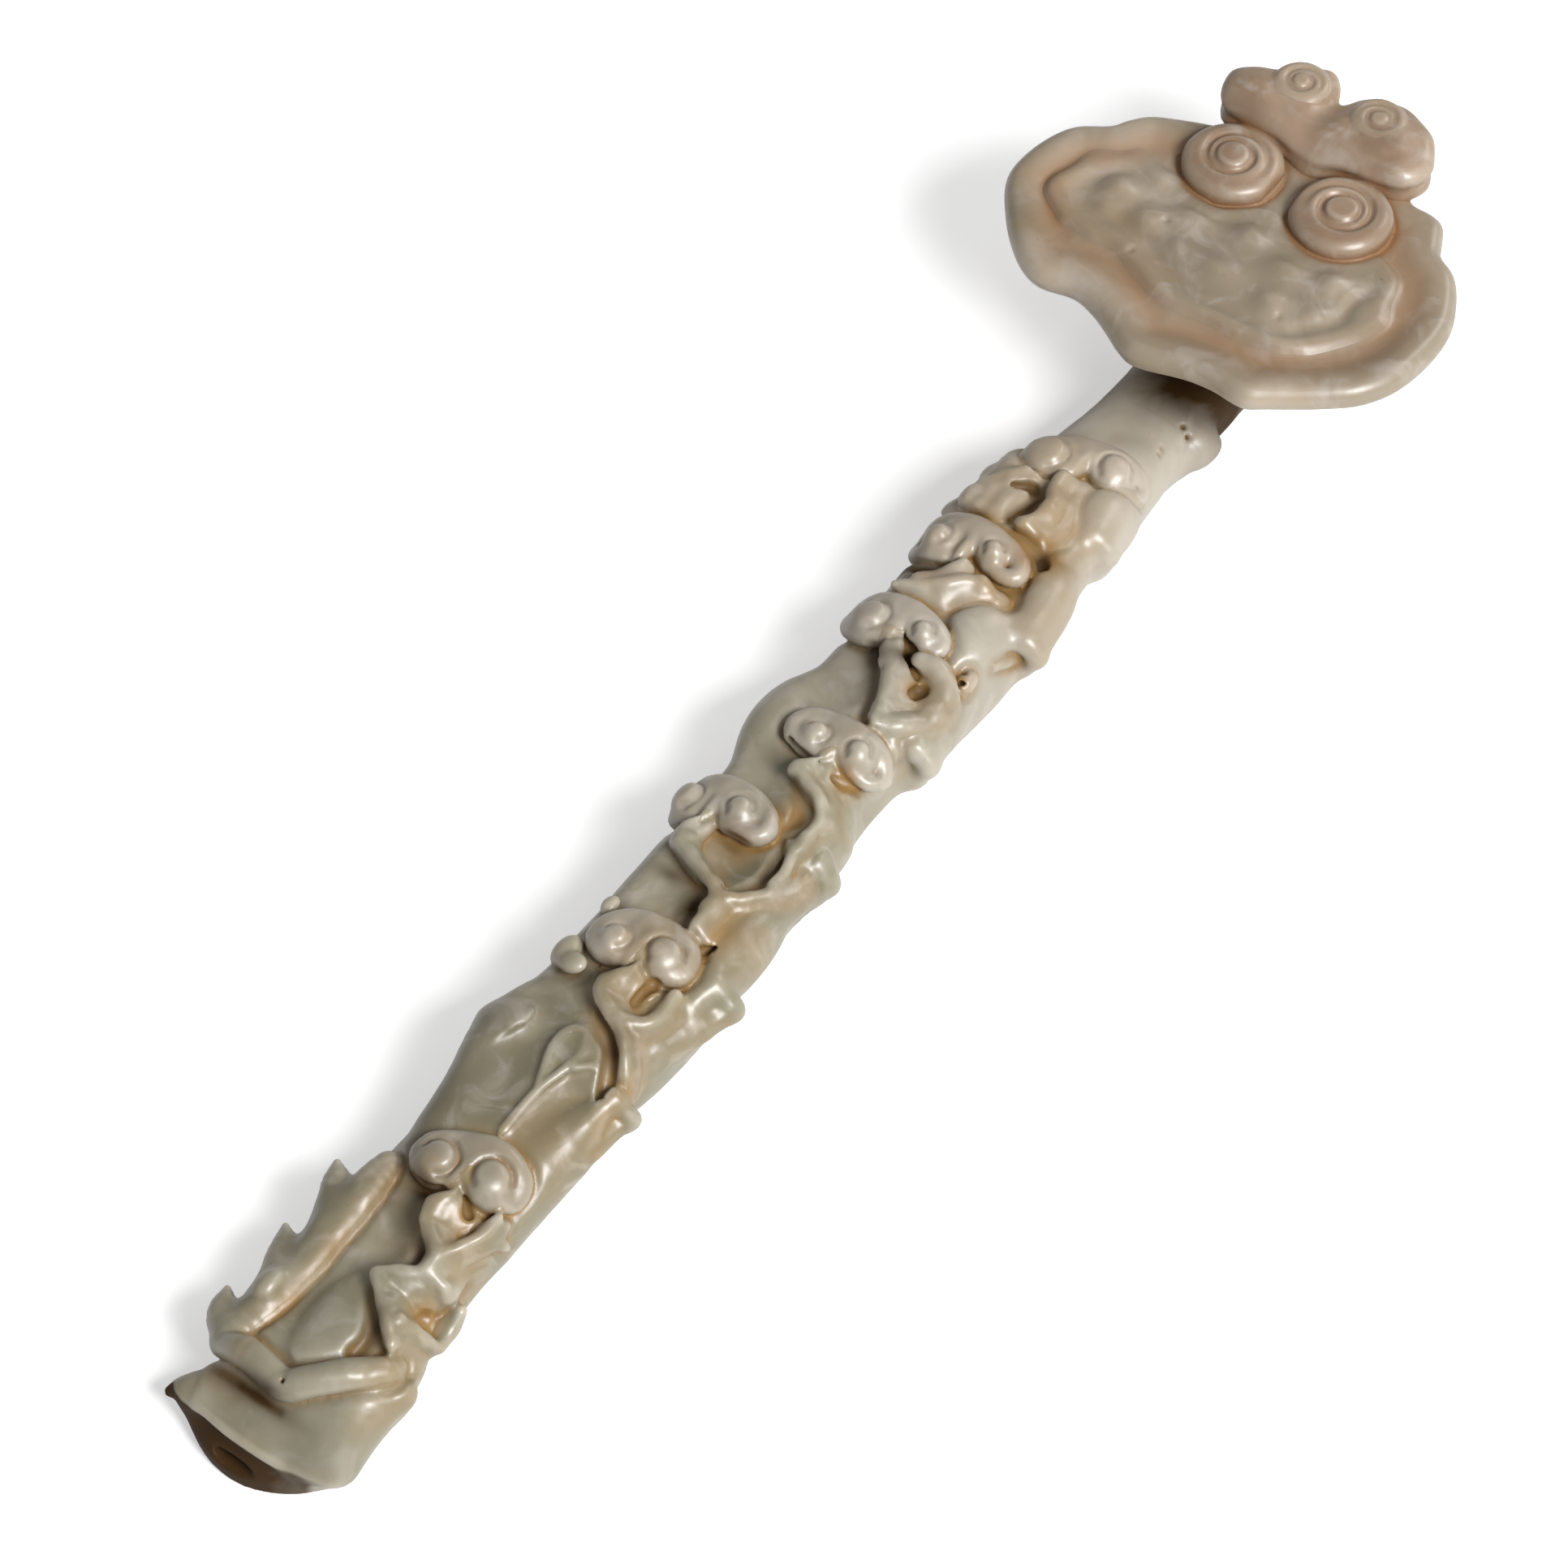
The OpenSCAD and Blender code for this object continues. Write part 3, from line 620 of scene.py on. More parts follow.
# the stem's size, its runs, its knuckles with a size each, and its barbs with their steps to the tip
sprigs = {
    "sprig_1": (2.7, [
        [(14, 21), (11.6, 25), (8.2, 28.5), (4.8, 31.6), (3.6, 33.8), (6.4, 36.4), (9.2, 39), (9.2, 42.5),
         (6, 45.6), (3.2, 48), (2.9, 51), (4.4, 54.5), (4.6, 60)],
        [(9.2, 39.5), (12.6, 39.8)],
        [(9.5, 43.5), (11.6, 48), (12.6, 53), (12.5, 57)],
        [(11, 29), (15.5, 31), (17, 35), (15.5, 39.5)]],
        [(2.6, 33.4, 2), (13, 39.8, 1.7), (9.6, 41, 2.2), (14, 22, 2.4)],
        [(4.4, 33.2, -3.4, 0.6), (3.2, 49.6, -3, 3), (12.6, 53, 3.6, 2.6), (9.4, 40, -1.6, 3.6)]),
    "sprig_2": (2.7, [
        [(18.2, 81), (17.6, 86), (15.6, 91), (13.2, 96), (10.2, 99.8), (6, 102.4), (2.4, 104.4), (1.2, 107),
         (2.6, 110.4), (3.8, 113.4), (3.4, 118)],
        [(8, 102.6), (11.2, 104.6), (12.4, 109), (12, 114)]],
        [(1, 106.2, 2), (13.8, 96, 2), (17.6, 85, 1.8)],
        [(1.6, 107.4, -3.2, 2), (14.4, 94, 3, 2.6), (17.4, 85, 2.6, 3), (12, 110, 3, 2)]),
    "sprig_3": (2.9, [
        [(6.8, 127), (7.2, 131.5), (6.6, 136)],
        [(6, 137), (2, 139.2), (-2.4, 140.8), (-6.2, 143), (-7.6, 147), (-6.6, 151)]],
        [(-7.8, 143.8, 2.2), (7, 134, 2.4)],
        [(-6.8, 144.6, -4, 1.6), (7, 132, -3, 1.8)]),
    "sprig_4": (2.6, [
        [(7, 136.8), (10, 139.6), (12.4, 144), (14, 148.6), (14.4, 152.6)],
        [(12.2, 146), (12.2, 150), (11.4, 155), (11.2, 160), (11, 164), (8.8, 167.4), (4.6, 169.4),
         (1.6, 171.2), (3, 174.2), (4.8, 178)]],
        [(1.2, 171, 2), (11.4, 164, 2.1), (14.4, 152, 2)],
        [(2.2, 171.8, -3.4, 1), (11.4, 163, 3.2, 2.6), (14.2, 151.6, 3, 2.4), (11.4, 155, -3, 1.6)]),
    "sprig_5": (3.0, [
        [(7, 188.6), (5.8, 193.4), (4.2, 198), (1.6, 202.6), (-1.4, 206), (-3.4, 210)]],
        [(0.2, 204.2, 2.1), (5.8, 193, 2.1)],
        [(1.4, 203, -3.2, -1), (6.2, 192, -3, 1), (-2.4, 208, 3, 2)]),
    "sprig_6": (2.4, [
        [(-9, 221.4), (-5.4, 223.6), (-1.8, 226.4), (1.4, 229.4), (4.2, 231.6)],
        [(-6.4, 225.2), (-3, 229), (-1.6, 233.4)]],
        [(4, 231.4, 1.8)],
        []),
    "sprig_7": (2.5, [
        [(-10.4, 251), (-10.6, 256), (-8.8, 260.4), (-5.8, 264.2)],
        [(2.6, 250.6), (4, 255), (3.4, 259.4), (1.2, 263), (0.8, 267.8)]],
        [(-13, 262.4, 2.8), (-11.8, 252.4, 2.6), (1.4, 250.2, 1.7), (4, 256, 2)],
        [(-10.4, 256, -3.6, 1), (-8.4, 261, -3.4, 2)]),
}
for name, (size, runs, knuckles, barbs) in sprigs.items():
    sprig = forms[name] = Form(1.2)
    for stem_line in runs:
        arm = size if stem_line is runs[0] else size * 0.8
        # the stem, and the worn crest along its left side
        sprig.tube(laid([(x + 0.7, s) for x, s in stem_line], 1.2 - arm * 0.5, arm))
        sprig.tube(laid([(x - 0.6, s) for x, s in stem_line], 2, 1.4))
    for stem_line in runs if name in ("sprig_4", "sprig_7") else runs[:1]:
        # the slope that falls away to its right
        sprig.tube(laid([(x + 3.4, s) for x, s in stem_line], -2.6, size + 1.2))
    for x, s, dx, ds in barbs:
        sprig.tube([(*on(x, s, 0.6), 2), (*on(x + dx * 0.55, s + ds * 0.55, 1), 1.3),
                    (*on(x + dx, s + ds, 0.9), tip_r / 2)], 4)
    if name not in ("sprig_6", "sprig_7"):
        undercuts.tube(laid([(x - size - 0.6, s) for x, s in runs[0]], 0.5, 1.3))
    for x, s, r in knuckles:
        cushion(sprig, x, s, r * 1.1, r * 1.2, r, 0.9)

# Seven caps
# Each lingzhi ends in a cap: a brow that curls down round both sides, each curl closed on a
# round bead, with a groove between curl and bead. Brown is left under the lobes.
big_bead = 3.25
# each brow's line, and the two beads with their sizes
caps = {
    "cap_1": ([
        (-1, 54.6), (-5, 54.9), (-8.2, 57.6), (-7.6, 61), (-4.2, 64), (0.4, 66.4), (5, 68), (9.6, 68),
        (13.4, 65.6), (14.4, 61.8), (12.4, 58), (8.8, 56.6)],
        [(-2.4, 58.8, 3.5), (7.8, 61.2, 3.6)]),
    "cap_2": ([
        (-2.6, 112.6), (-6.6, 112.6), (-9.6, 115.6), (-8.8, 120), (-5, 123.6), (0.4, 125.6), (5.8, 125.8),
        (10.4, 124), (12.4, 120), (11, 116.4), (7.4, 115)],
        [(-3.4, 116.8, 3.1), (5.9, 119.2, 3.4)]),
    "cap_3": ([
        (-10.4, 149.8), (-14.6, 149.4), (-17.4, 152.6), (-16.8, 157), (-13, 160.6), (-7.4, 162),
        (-1.4, 161.2), (3.6, 159), (6, 155.6), (4.4, 152.4), (0.6, 151.4), (-3, 151.8)],
        [(-12.2, 154.4, 3.3), (-2.2, 155.8, 3)]),
    "cap_4": ([
        (2.2, 176.4), (-2.4, 175.8), (-6.6, 178), (-7.6, 181.6), (-4.6, 184.8), (0.8, 186.2), (6.6, 186.8),
        (12, 185.6), (15, 182), (13.8, 178.2), (10.2, 176.9)],
        [(-1.2, 180, 3.2), (8.4, 181.2, 3.3)]),
    "cap_5": ([
        (-5.2, 207.6), (-10, 206.8), (-14.6, 209), (-16, 213.2), (-13.6, 217), (-8.6, 219), (-2.6, 219),
        (3, 217.6), (7.2, 215), (7.6, 212), (4.4, 210.8)],
        [(-9, 211.8, 3.7), (1.8, 213.6, 2.5)]),
    "cap_6": ([
        (-7.4, 232.8), (-12, 232.6), (-16.4, 235.6), (-17.6, 240), (-14.6, 243.8), (-8.6, 245.2), (-2, 245),
        (4, 243.8), (9, 241.4), (10, 238), (7.2, 235.8), (3.4, 236.2)],
        [(-10.4, 237.6, 3.2), (2.2, 239.6, 2.6)]),
    "cap_7": ([
        (-9.4, 275), (-6.4, 278.6), (-0.8, 280.6), (5.4, 282), (10.4, 281.4), (13.2, 278), (12.2, 274),
        (8.4, 272.4)],
        [(-5.8, 271.6, 4.2), (6.6, 277, 3.4)]),
}
for name, (brow, beads) in caps.items():
    cap = forms[name] = Form(1.6)
    middle_x, middle_s = np.mean(brow, 0)
    for i, (x, s) in enumerate(brow):
        share = i / (len(brow) - 1)
        r = mix(1.4, 2.4, float(ramp(0, 0.3, share) * (1 - ramp(0.75, 1, share))))
        brow[i] = (*on(mix(middle_x, x, 0.86), mix(middle_s, s, 0.84), 0.4), r)
    cap.tube(brow)
    if name in ("cap_4", "cap_6"):
        beads = [(mix(middle_x, x, 0.88), s, r * 0.88) for x, s, r in beads]
    for x, s, r in beads:
        bead_r, groove_r = (r * 0.92, r * 1.08) if r > big_bead else (r * 0.7, r * 0.9)
        cushion(cap, x, s, r * 1.55, r * 1.55, 4.4, 0)
        cushion(cap, x, s, bead_r, bead_r, 1.6, 2.45)
        down = on(x + math.copysign(0.7, x - middle_x), s - 1) - on(x, s)
        cap.ring(on(x, s, 3), on(x, s, 1) - on(x, s), down, groove_r, 0.7, 0.75)
    (left_x, left_s, _), (right_x, right_s, _) = beads
    between_x, between_s = (left_x + right_x) / 2, (left_s + right_s) / 2
    cushion(cap, between_x, between_s + 3.4, abs(right_x - left_x) * 0.6, 3.2, 3, 0.2)
    cushion(cap, between_x, between_s - 1, 1.6, 4.4, 2.4, 0.5)

# Burl, looping twig, knobs and the long ridge
# A leaf-shaped hollow ringed by a thin raised line, a twig that loops round a bored hollow, a
# few knobs, and a ridge along the right edge of the upper shaft.
burl = forms["burl_rim"] = Form(0.6)
burl.tube(laid([(3.2, 69), (3.2, 76), (3.6, 83), (5.2, 89), (5.6, 93.4), (3.4, 97), (0.6, 95.6),
                (0.2, 91), (1.8, 86.4), (3.4, 82)], -0.7, 0.85))
burl.tube(laid([(6.4, 90), (9.8, 92.6), (13.2, 90.4), (15.4, 86), (16.4, 80), (16, 74), (14.6, 70)],
               -0.6, 0.95))
loop = forms["loop_twig"] = Form(1.4)
loop.tube(laid([(6.4, 190.4, 0.2), (10, 192.8), (12.8, 197), (13.6, 202), (12, 206.4), (8.4, 208.6),
                (5.2, 208.2, 0.4)], 0.6, 3))
cushion(loop, 12.8, 200, 2.8, 2.8, 2.2, 1.4)

for name, x, s, r, tall in (
        ("side_knob", -11.6, 111.0, 3.2, 0.0), ("side_bud", -10.8, 124.4, 1.9, 0.6),
        ("edge_bead", 13.4, 211.6, 2.6, 1.2)):
    forms[name] = Form(1.0)
    cushion(forms[name], x, s, r * 0.9, r * 1.25, r * 0.8, tall * 0.6)
cushion(forms["side_knob"], -8.4, 108.6, 3.4, 2.4, 1.8, 0.2)

ridge = forms["long_ridge"] = Form(1.0)
ridge.tube(laid([(14.4, 220, 0.2, 1.8), (15.2, 226), (15.4, 233), (14.8, 240), (13.4, 247, -0.6, 1.8)],
                -0.4, 2.6))

# Grooves, pockets and pits
# The carver's drill and wheel leave deep pockets behind the stems and under the caps. They
# hold the brown skin of the pebble, and the tail's end is sunk inside a plain rim.
pockets = Form(0.8)
pocket_lines = (
    [(-16, 5, 0.2, 1.2), (-10, 4.2), (-4, 3.8), (1.5, 3.6, 0.3, 0.9)],
    [(8.2, 19.6, -0.4, 2), (8.2, 23, 0, 1.7), (6.2, 27, 0.3, 1.4), (3, 30.6)],
    [(0.4, 46.6, 0.4, 0.8), (3.6, 44.6), (6, 42), (5.6, 38.6)],
    [(-5, 53.6), (-1, 53.4), (2, 54, 0.3, 1.4), (1.6, 50.6, 0.4, 0.9)],
    [(5.6, 55.6, 0.3, 0.9), (8.4, 53.6, 0.4, 1.1)],
    [(13.4, 33.4, 0.2, 1.6), (13.2, 32, 0.2, 1.3)],
    [(15, 43.4, 0.2, 1), (15, 45, 0.2, 0.8)],
    [(3.4, 100.8), (6.4, 98.4), (9.8, 97.2, 0.3, 1.4), (11.6, 94.4), (13.4, 90)],
    [(7.4, 108), (7.3, 111), (7.8, 113.4, 0.3, 1.4)],
    [(-2.4, 109.8, 0.4, 1.7), (-0.8, 110.4, 0.4, 1.6)],
    [(10.4, 125.8, 0.2, 1), (12, 129), (13, 132.4, 0.3, 0.9)],
    [(3.2, 129, 0.4, 1), (3.4, 132.4, 0.3, 1.6), (3, 135.2, 0.3, 1.8), (-1, 136.8), (-5.4, 138.6)],
    [(-1.6, 149.4, 0.3, 1.4), (1.6, 149.6, 0.3, 1.6), (5, 149.8)],
    [(9, 145, 0.4, 1), (9.6, 148.4, 0.3, 1.3), (8.4, 152, 0.4, 1.1)],
    [(6.4, 159, 0.4, 1.3), (7.2, 162.4, 0.3, 1.7), (5, 165.4), (1.2, 167.6, 0.4, 1.3)],
    [(-4.6, 176.4), (-1, 174.8, 0.3, 1.3), (1.6, 174.2, 0.3, 1.3)],
    [(7.6, 174.4, 0.4, 1), (9.8, 174.8, 0.3, 1.4)],
    [(2.6, 190.8), (0.8, 196, 0.3, 1.4), (-2, 201, 0.2, 1.7), (-5.4, 205, 0.2, 1.8)],
    [(8.8, 202.6, 0.5, 1.6), (8.2, 200.6, 0.5, 1.4)],
    [(2.6, 207, 0.2, 1.5), (1.8, 209.6, 0.3, 1.3), (-0.4, 212)],
    [(6.4, 204.6, 0.5, 0.9), (4.2, 206, 0.5, 0.9)],
    [(-11, 229.6, 0.4, 1.4), (-7.6, 229, 0.2, 1.9), (-5.4, 227.8, 0.4, 1.4)],
    [(-9, 247.6, 0.4, 1.1), (-3, 247), (2, 247.6, 0.6, 0.8), (8.4, 246.6, 0.3, 1.3),
     (11.4, 243.4, 0.3, 1.2)],
    [(1.2, 255.6), (-0.4, 259, 0.2, 1.5), (-3.2, 261.6, 0.2, 1.4), (-6.6, 259.4)])
for points in pocket_lines:
    pockets.tube(laid(points, 0.4, 1.1))
nicks = Form(0.3)
# the bar's bored knot stands higher than the shaft that the other nicks are in
for x, s, r, start, stop in ((1.2, 6.6, 0.45, 4.4, 3.3), *((*nick, 1.2, -0.2) for nick in (
        (-1.4, 180.4, 0.7), (13, 210.4, 0.9), (14.2, 212.4, 0.7), (12.2, 212.4, 0.6), (9, 301, 0.7),
        (10.5, 300, 0.6), (9.2, 293, 0.8), (9.6, 291, 0.5), (12.6, 209, 0.5), (15, 42, 0.6),
        (14.4, 35.6, 0.6)))):
    nicks.tube([(*on(x, s, start), r), (*on(x, s, stop), r * 0.6)])
end_hollow = Form(0.6)
end_hollow.pad((stalk_x - 3, -5.6 - tail_y, 5.4), (5.2, 2.2, 1.3),
               [(0.97, -0.24, 0), (0.24, 0.97, 0), (0, 0, 1)])


def meeting(a, b, width):
    """Mark that is 1 where two surfaces meet."""
    return np.exp(-(np.abs(a) + np.abs(b)) / width)


def foot(field, width):
    """Mark that is 1 in a form and fades round its foot."""
    return np.exp(-(np.maximum(field, 0) / width) ** 2)


def whole(block):
    """The stone in a block: its surface, and what the colour is taken from."""
    x, y, z = block.grid()
    fields = {}
    low = np.full(block.shape, FAR, np.float32)
    high = np.full(block.shape, FAR, np.float32)
    for name, form in forms.items():
        if isinstance(form, Form):
            fields[name] = form.field(block)
            if name.startswith("sprig") or name in ("loop_twig", "long_ridge"):
                low = smooth_min(low, fields[name], 0.8)
            elif name != "burl_rim":
                high = smooth_min(high, fields[name], 0.5)
        elif block.axes[1][-1] > head_from:
            fields[name] = np.minimum(form(block), NOWHERE).astype(np.float32)
    # the relief, no higher than a little above the plain stone
    body = stalk(block)
    rough = 0.4 * grain(x, y, z, 5.0) + 0.2 * grain(x, y, z, 2.4)
    flank = ramp(0.8, 1.0, np.abs(x - stalk_x) / half_w(y + tail_y))
    low = smooth_max(low + rough, body - 3.3, 1.6)
    high = smooth_max(high + 0.45 * rough, body - 5.0 - 7.0 * flank, 1.4)
    crease = meeting(low, body, 0.9)
    ground = smooth_min(body, fields["burl_rim"], 1.4)
    ground = smooth_min(ground + 0.5 * foot(low, 1.5), low, 1.3)
    dug = smooth_max(ground, -undercuts.field(block, 3.0), 0.7)
    beside = np.clip((dug - ground) / 1.2, 0, 1) * ramp(-0.5, 0.6, high)
    ground = mix(ground, dug, ramp(-1.5, 0.0, high))
    crease = np.maximum(crease, meeting(high, ground, 0.9))
    stone = smooth_min(ground + 0.9 * foot(high, 1.5), high, 0.6)
    fields["shaft"] = body + np.maximum(y + tail_y - shaft_l, 0)
    fields["neck"] = body + np.maximum(shaft_l - y - tail_y, 0)
    if "head_plate" in fields:
        plate = fields["head_plate"]
        cloud = fields["head_cloud"]
        scrolls = np.minimum(fields["volute_left"], fields["volute_right"])
        curls = np.minimum(fields["crest_curl_left"], fields["crest_curl_right"])
        top = smooth_min(fields["crest"], curls, 0.5)
        head = smooth_min(plate, cloud, 1.2) + 0.8 * foot(scrolls, 1.4) * (z > field_z - 2)
        head = smooth_min(head, scrolls, 0.6)
        crease = np.maximum(crease, meeting(head, top, 1.2))
        crease = np.maximum(crease, meeting(scrolls, np.minimum(plate, cloud), 1.2))
        stone = smooth_min(stone, smooth_min(head, top, 1.0), 4.0)
    # the pockets, and the flats that the stone rests on
    sunk = pockets.field(block, 3.0)
    sunk = np.minimum(sunk, nicks.field(block, 3.0))
    sunk = np.minimum(sunk, end_hollow.field(block, 3.0))
    cut = smooth_max(stone, -sunk, 0.9)
    depth = np.maximum(np.clip((cut - stone) / 1.3, 0, 1), 0.75 * beside)
    return smooth_max(cut, -z, 0.3), fields, crease, depth


# Carving and colour marks
# Each piece is the part of the stone where its own form is the nearest, sunk a little under its
# neighbours past the seam. Every point of its skin carries marks for the polish and the skin of
# the pebble: how hollow it lies, how near a seam, and the brown and dark places; some dark places
# are painted shade on the left flank and painted shadow under the head.
seam = 1.2
near_reach, wide_reach = 1.3, 4.0
mark_names = ("near_hollow", "wide_hollow", "crease", "cut_depth", "russet", "dark")
russet_spots = [
    (9, 77, 6, 10, 0.4), (8, 52.4, 1.6, 1.6, 1.2), (13.4, 33.6, 2.4, 3, 1), (1, 150, 5, 4, 0.7),
    (9.7, 175.6, 2.6, 2.6, 1.3), (9, 245.4, 4.6, 5, 2.2), (5, 256, 6, 4, 0.5), (-6, 226, 5, 3, 0.5),
    (6, 233, 3, 3, 0.8), (5, 162, 3.4, 5, 0.8), (8, 202, 3, 3.4, 1), (13, 210.4, 2.4, 2.4, 0.9),
    (7.4, 110.6, 2.4, 3.4, 0.8), (-10, 33, 1.6, 22, 0.5), (-2, 247, 9, 2.4, 1.2), (12.4, 130, 2.4, 4, 0.8),
    (16.6, 88, 2, 10, 0.7), (-12, 3, 5, 2, 0.5), (-9, 21, 3, 3, 0.35), (2, 41, 4, 5, 0.25),
    (3, 262, 4, 5, 0.35)]
# dark spots: brown in pockets and grooves, except the broad ones along the left flank at stations 78, 172
# and 205 and the one at (-14, 230) between cap 6 and sprig 6, which are painted shade
dark_spots = [
    (2.6, 133, 2.2, 4, 0.9), (-6, 137.6, 4, 2, 0.7), (-1, 110, 2, 2, 0.9), (8, 26, 2, 4, 0.6),
    (6.4, 42, 2, 3, 0.7), (-2, 53.4, 4, 1.6, 0.8), (-4, 3.8, 10, 1.6, 0.9), (-8, 229, 4, 2.4, 0.8),
    (1, 200, 3, 8, 0.3), (2.4, 207.6, 1.8, 3, 0.8), (-3, 205, 3, 3, 0.6), (8.8, 202.6, 2, 2.2, 0.2),
    (0, 150, 3, 1.6, 0.5), (9.6, 148, 1.4, 4, 0.5), (0, 174.6, 3, 1.6, 0.6), (10, 98, 3, 3, 0.5),
    (9.6, 246, 2.2, 3.4, 0.75), (-14, 230, 3, 3.4, 0.7), (8.4, 203, 2, 2, 0.15), (-10, 78, 5, 24, 0.3),
    (-10, 205, 5, 16, 0.2), (-9, 172, 4, 12, 0.2), (-8, 247.6, 3, 1.6, 0.7), (-3, 261, 4, 2, 0.3)]


def blur(a, cells):
    """Mean of an array over a cube of cells to each side."""
    across = 2 * cells + 1
    for axis in range(3):
        rows = np.pad(np.moveaxis(a, axis, 0), ((cells + 1, cells), (0, 0), (0, 0)), "edge")
        total = np.cumsum(rows, 0, dtype=np.float64)
        means = (total[across:] - total[:-across]) / across
        a = np.moveaxis(means.astype(np.float32), 0, axis)
    return a


def sample(a, at):
    """Value of an array between its points."""
    first = np.clip(np.floor(at).astype(int), 0, np.array(a.shape) - 2)
    share = (at - first).astype(np.float32).T
    i, j, k = first.T
    out = 0
    for di, dj, dk in np.ndindex(2, 2, 2):
        u, v, w = (f if step else 1 - f for step, f in zip((di, dj, dk), share))
        out = out + a[i + di, j + dj, k + dk] * (u * v * w)
    return out


def settle(field, at):
    """Points moved on to the surface where the field is nothing."""
    slopes = np.gradient(field)
    for _ in range(3):
        value = sample(field, at)
        g = np.stack([sample(slope, at) for slope in slopes], 1)
        size = np.maximum((g * g).sum(1), 1e-6)
        at = at - np.clip(g * (value / size)[:, None], -0.4, 0.4)
    return at


def biggest(n, quads):
    """Which faces belong to the larger connected parts, and not to crumbs."""
    label = np.arange(n)
    while True:
        low = label[quads].min(1)
        new = label.copy()
        for c in range(4):
            np.minimum.at(new, quads[:, c], low)
        new = new[new]
        if (new == label).all():
            break
        label = new
    parts, counts = np.unique(label[quads[:, 0]], return_counts=True)
    keep = parts[counts > max(60, counts.max() * 0.02)]
    return np.isin(label[quads[:, 0]], keep)


def marks(spots, x, s):
    """Sum of the soft spots: place, half sizes and strength."""
    return sum(strength * dome(x, s, cx, cs, rx, rs) for cx, cs, rx, rs, strength in spots)


def stains(name, place):
    """Russet and dark marks at the points of a piece; some dark marks are painted shade and shadow."""
    x = place[:, 0] - sight_x
    s = place[:, 1] + tail_y
    z = place[:, 2]
    top_side = ramp(-2, 4, z - centre_z(np.minimum(s, bend_s)))
    russet = marks(russet_spots, x, s) * top_side
    dark = marks(dark_spots, x, s) * top_side
    # the tail's end face, and the neck where it goes in under the head; on the neck the dark is partly brown
    # skin and partly painted shadow of the head, strongest at its front and right
    dark = dark + ramp(10.8, 9.8, z) * ramp(-0.2, -1.6, s) * (1.3 - 0.45 * ramp(-6, 8, x)) * ramp(17, 11, x)
    front_right = mix(0.25, 1, ramp(334, 314, s) * ramp(-13, 2, x))
    dark = dark + 1.05 * ramp(289, 312, s - 0.3 * x) * ramp(38, 35, z) * front_right
    if name.startswith("head_"):
        depth_in = -inside(plate_line, place[:, 0], place[:, 1])
        russet = russet + 0.75 * rim(depth_in, 9.5, 4.2) * ramp(38, 42, z)
    if name.startswith("crest_curl"):
        russet = russet + 0.3
    if name.startswith("cap_"):
        russet = russet - 0.3
    return russet, dark


def carve(name, low, high, step):
    """The piece of the stone where one form is the nearest, as a closed mesh with its marks."""
    block = Block(low, high, step)
    stone, fields, crease, depth = whole(block)
    others = np.full(block.shape, NOWHERE, np.float32)
    for other, field in fields.items():
        if other != name:
            others = np.minimum(others, field)
    past = fields[name] - others
    sink = np.where(past < 0, 0, np.where(past < seam, past * past / (2 * seam), past - seam / 2))
    solid = stone + sink
    for axis in range(3):
        faces = np.moveaxis(solid, axis, 0)
        faces[[0, -1]] = np.maximum(faces[[0, -1]], 0.5)
    grid = openvdb.FloatGrid(background=3.0)
    grid.copyFromArray(np.ascontiguousarray(solid, np.float32))
    points, quads = grid.convertToQuads(0.0)
    quads = np.asarray(quads, np.int64)
    quads = quads[biggest(len(points), quads)]
    used, quads = np.unique(quads, return_inverse=True)
    quads = quads.reshape(-1, 4)
    at = settle(solid, np.asarray(points, np.float32)[used])
    place = block.low + at * step
    a, b, c = (place[quads[:, i]] for i in range(3))
    if (a * np.cross(b, c)).sum() < 0:
        quads = quads[:, ::-1]
    mesh = bpy.data.meshes.new(name)
    mesh.from_pydata((place * MM).tolist(), [], quads.tolist())
    mesh.polygons.foreach_set("use_smooth", np.ones(len(quads), bool))
    full = np.clip(0.5 - stone / (2 * step), 0, 1)
    russet, dark = stains(name, place)
    near = sample(blur(full, max(1, round(near_reach / step))), at)
    wide = sample(blur(full, max(2, round(wide_reach / step))), at)
    values = (near, wide, sample(crease, at), sample(depth, at), russet, dark)
    for title, value in zip(mark_names, values):
        layer = mesh.attributes.new(title, "FLOAT", "POINT")
        layer.data.foreach_set("value", value.astype(np.float32))
    piece = put("stone_" + name, mesh)
    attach(piece, "root")
    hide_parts(name)
    return piece


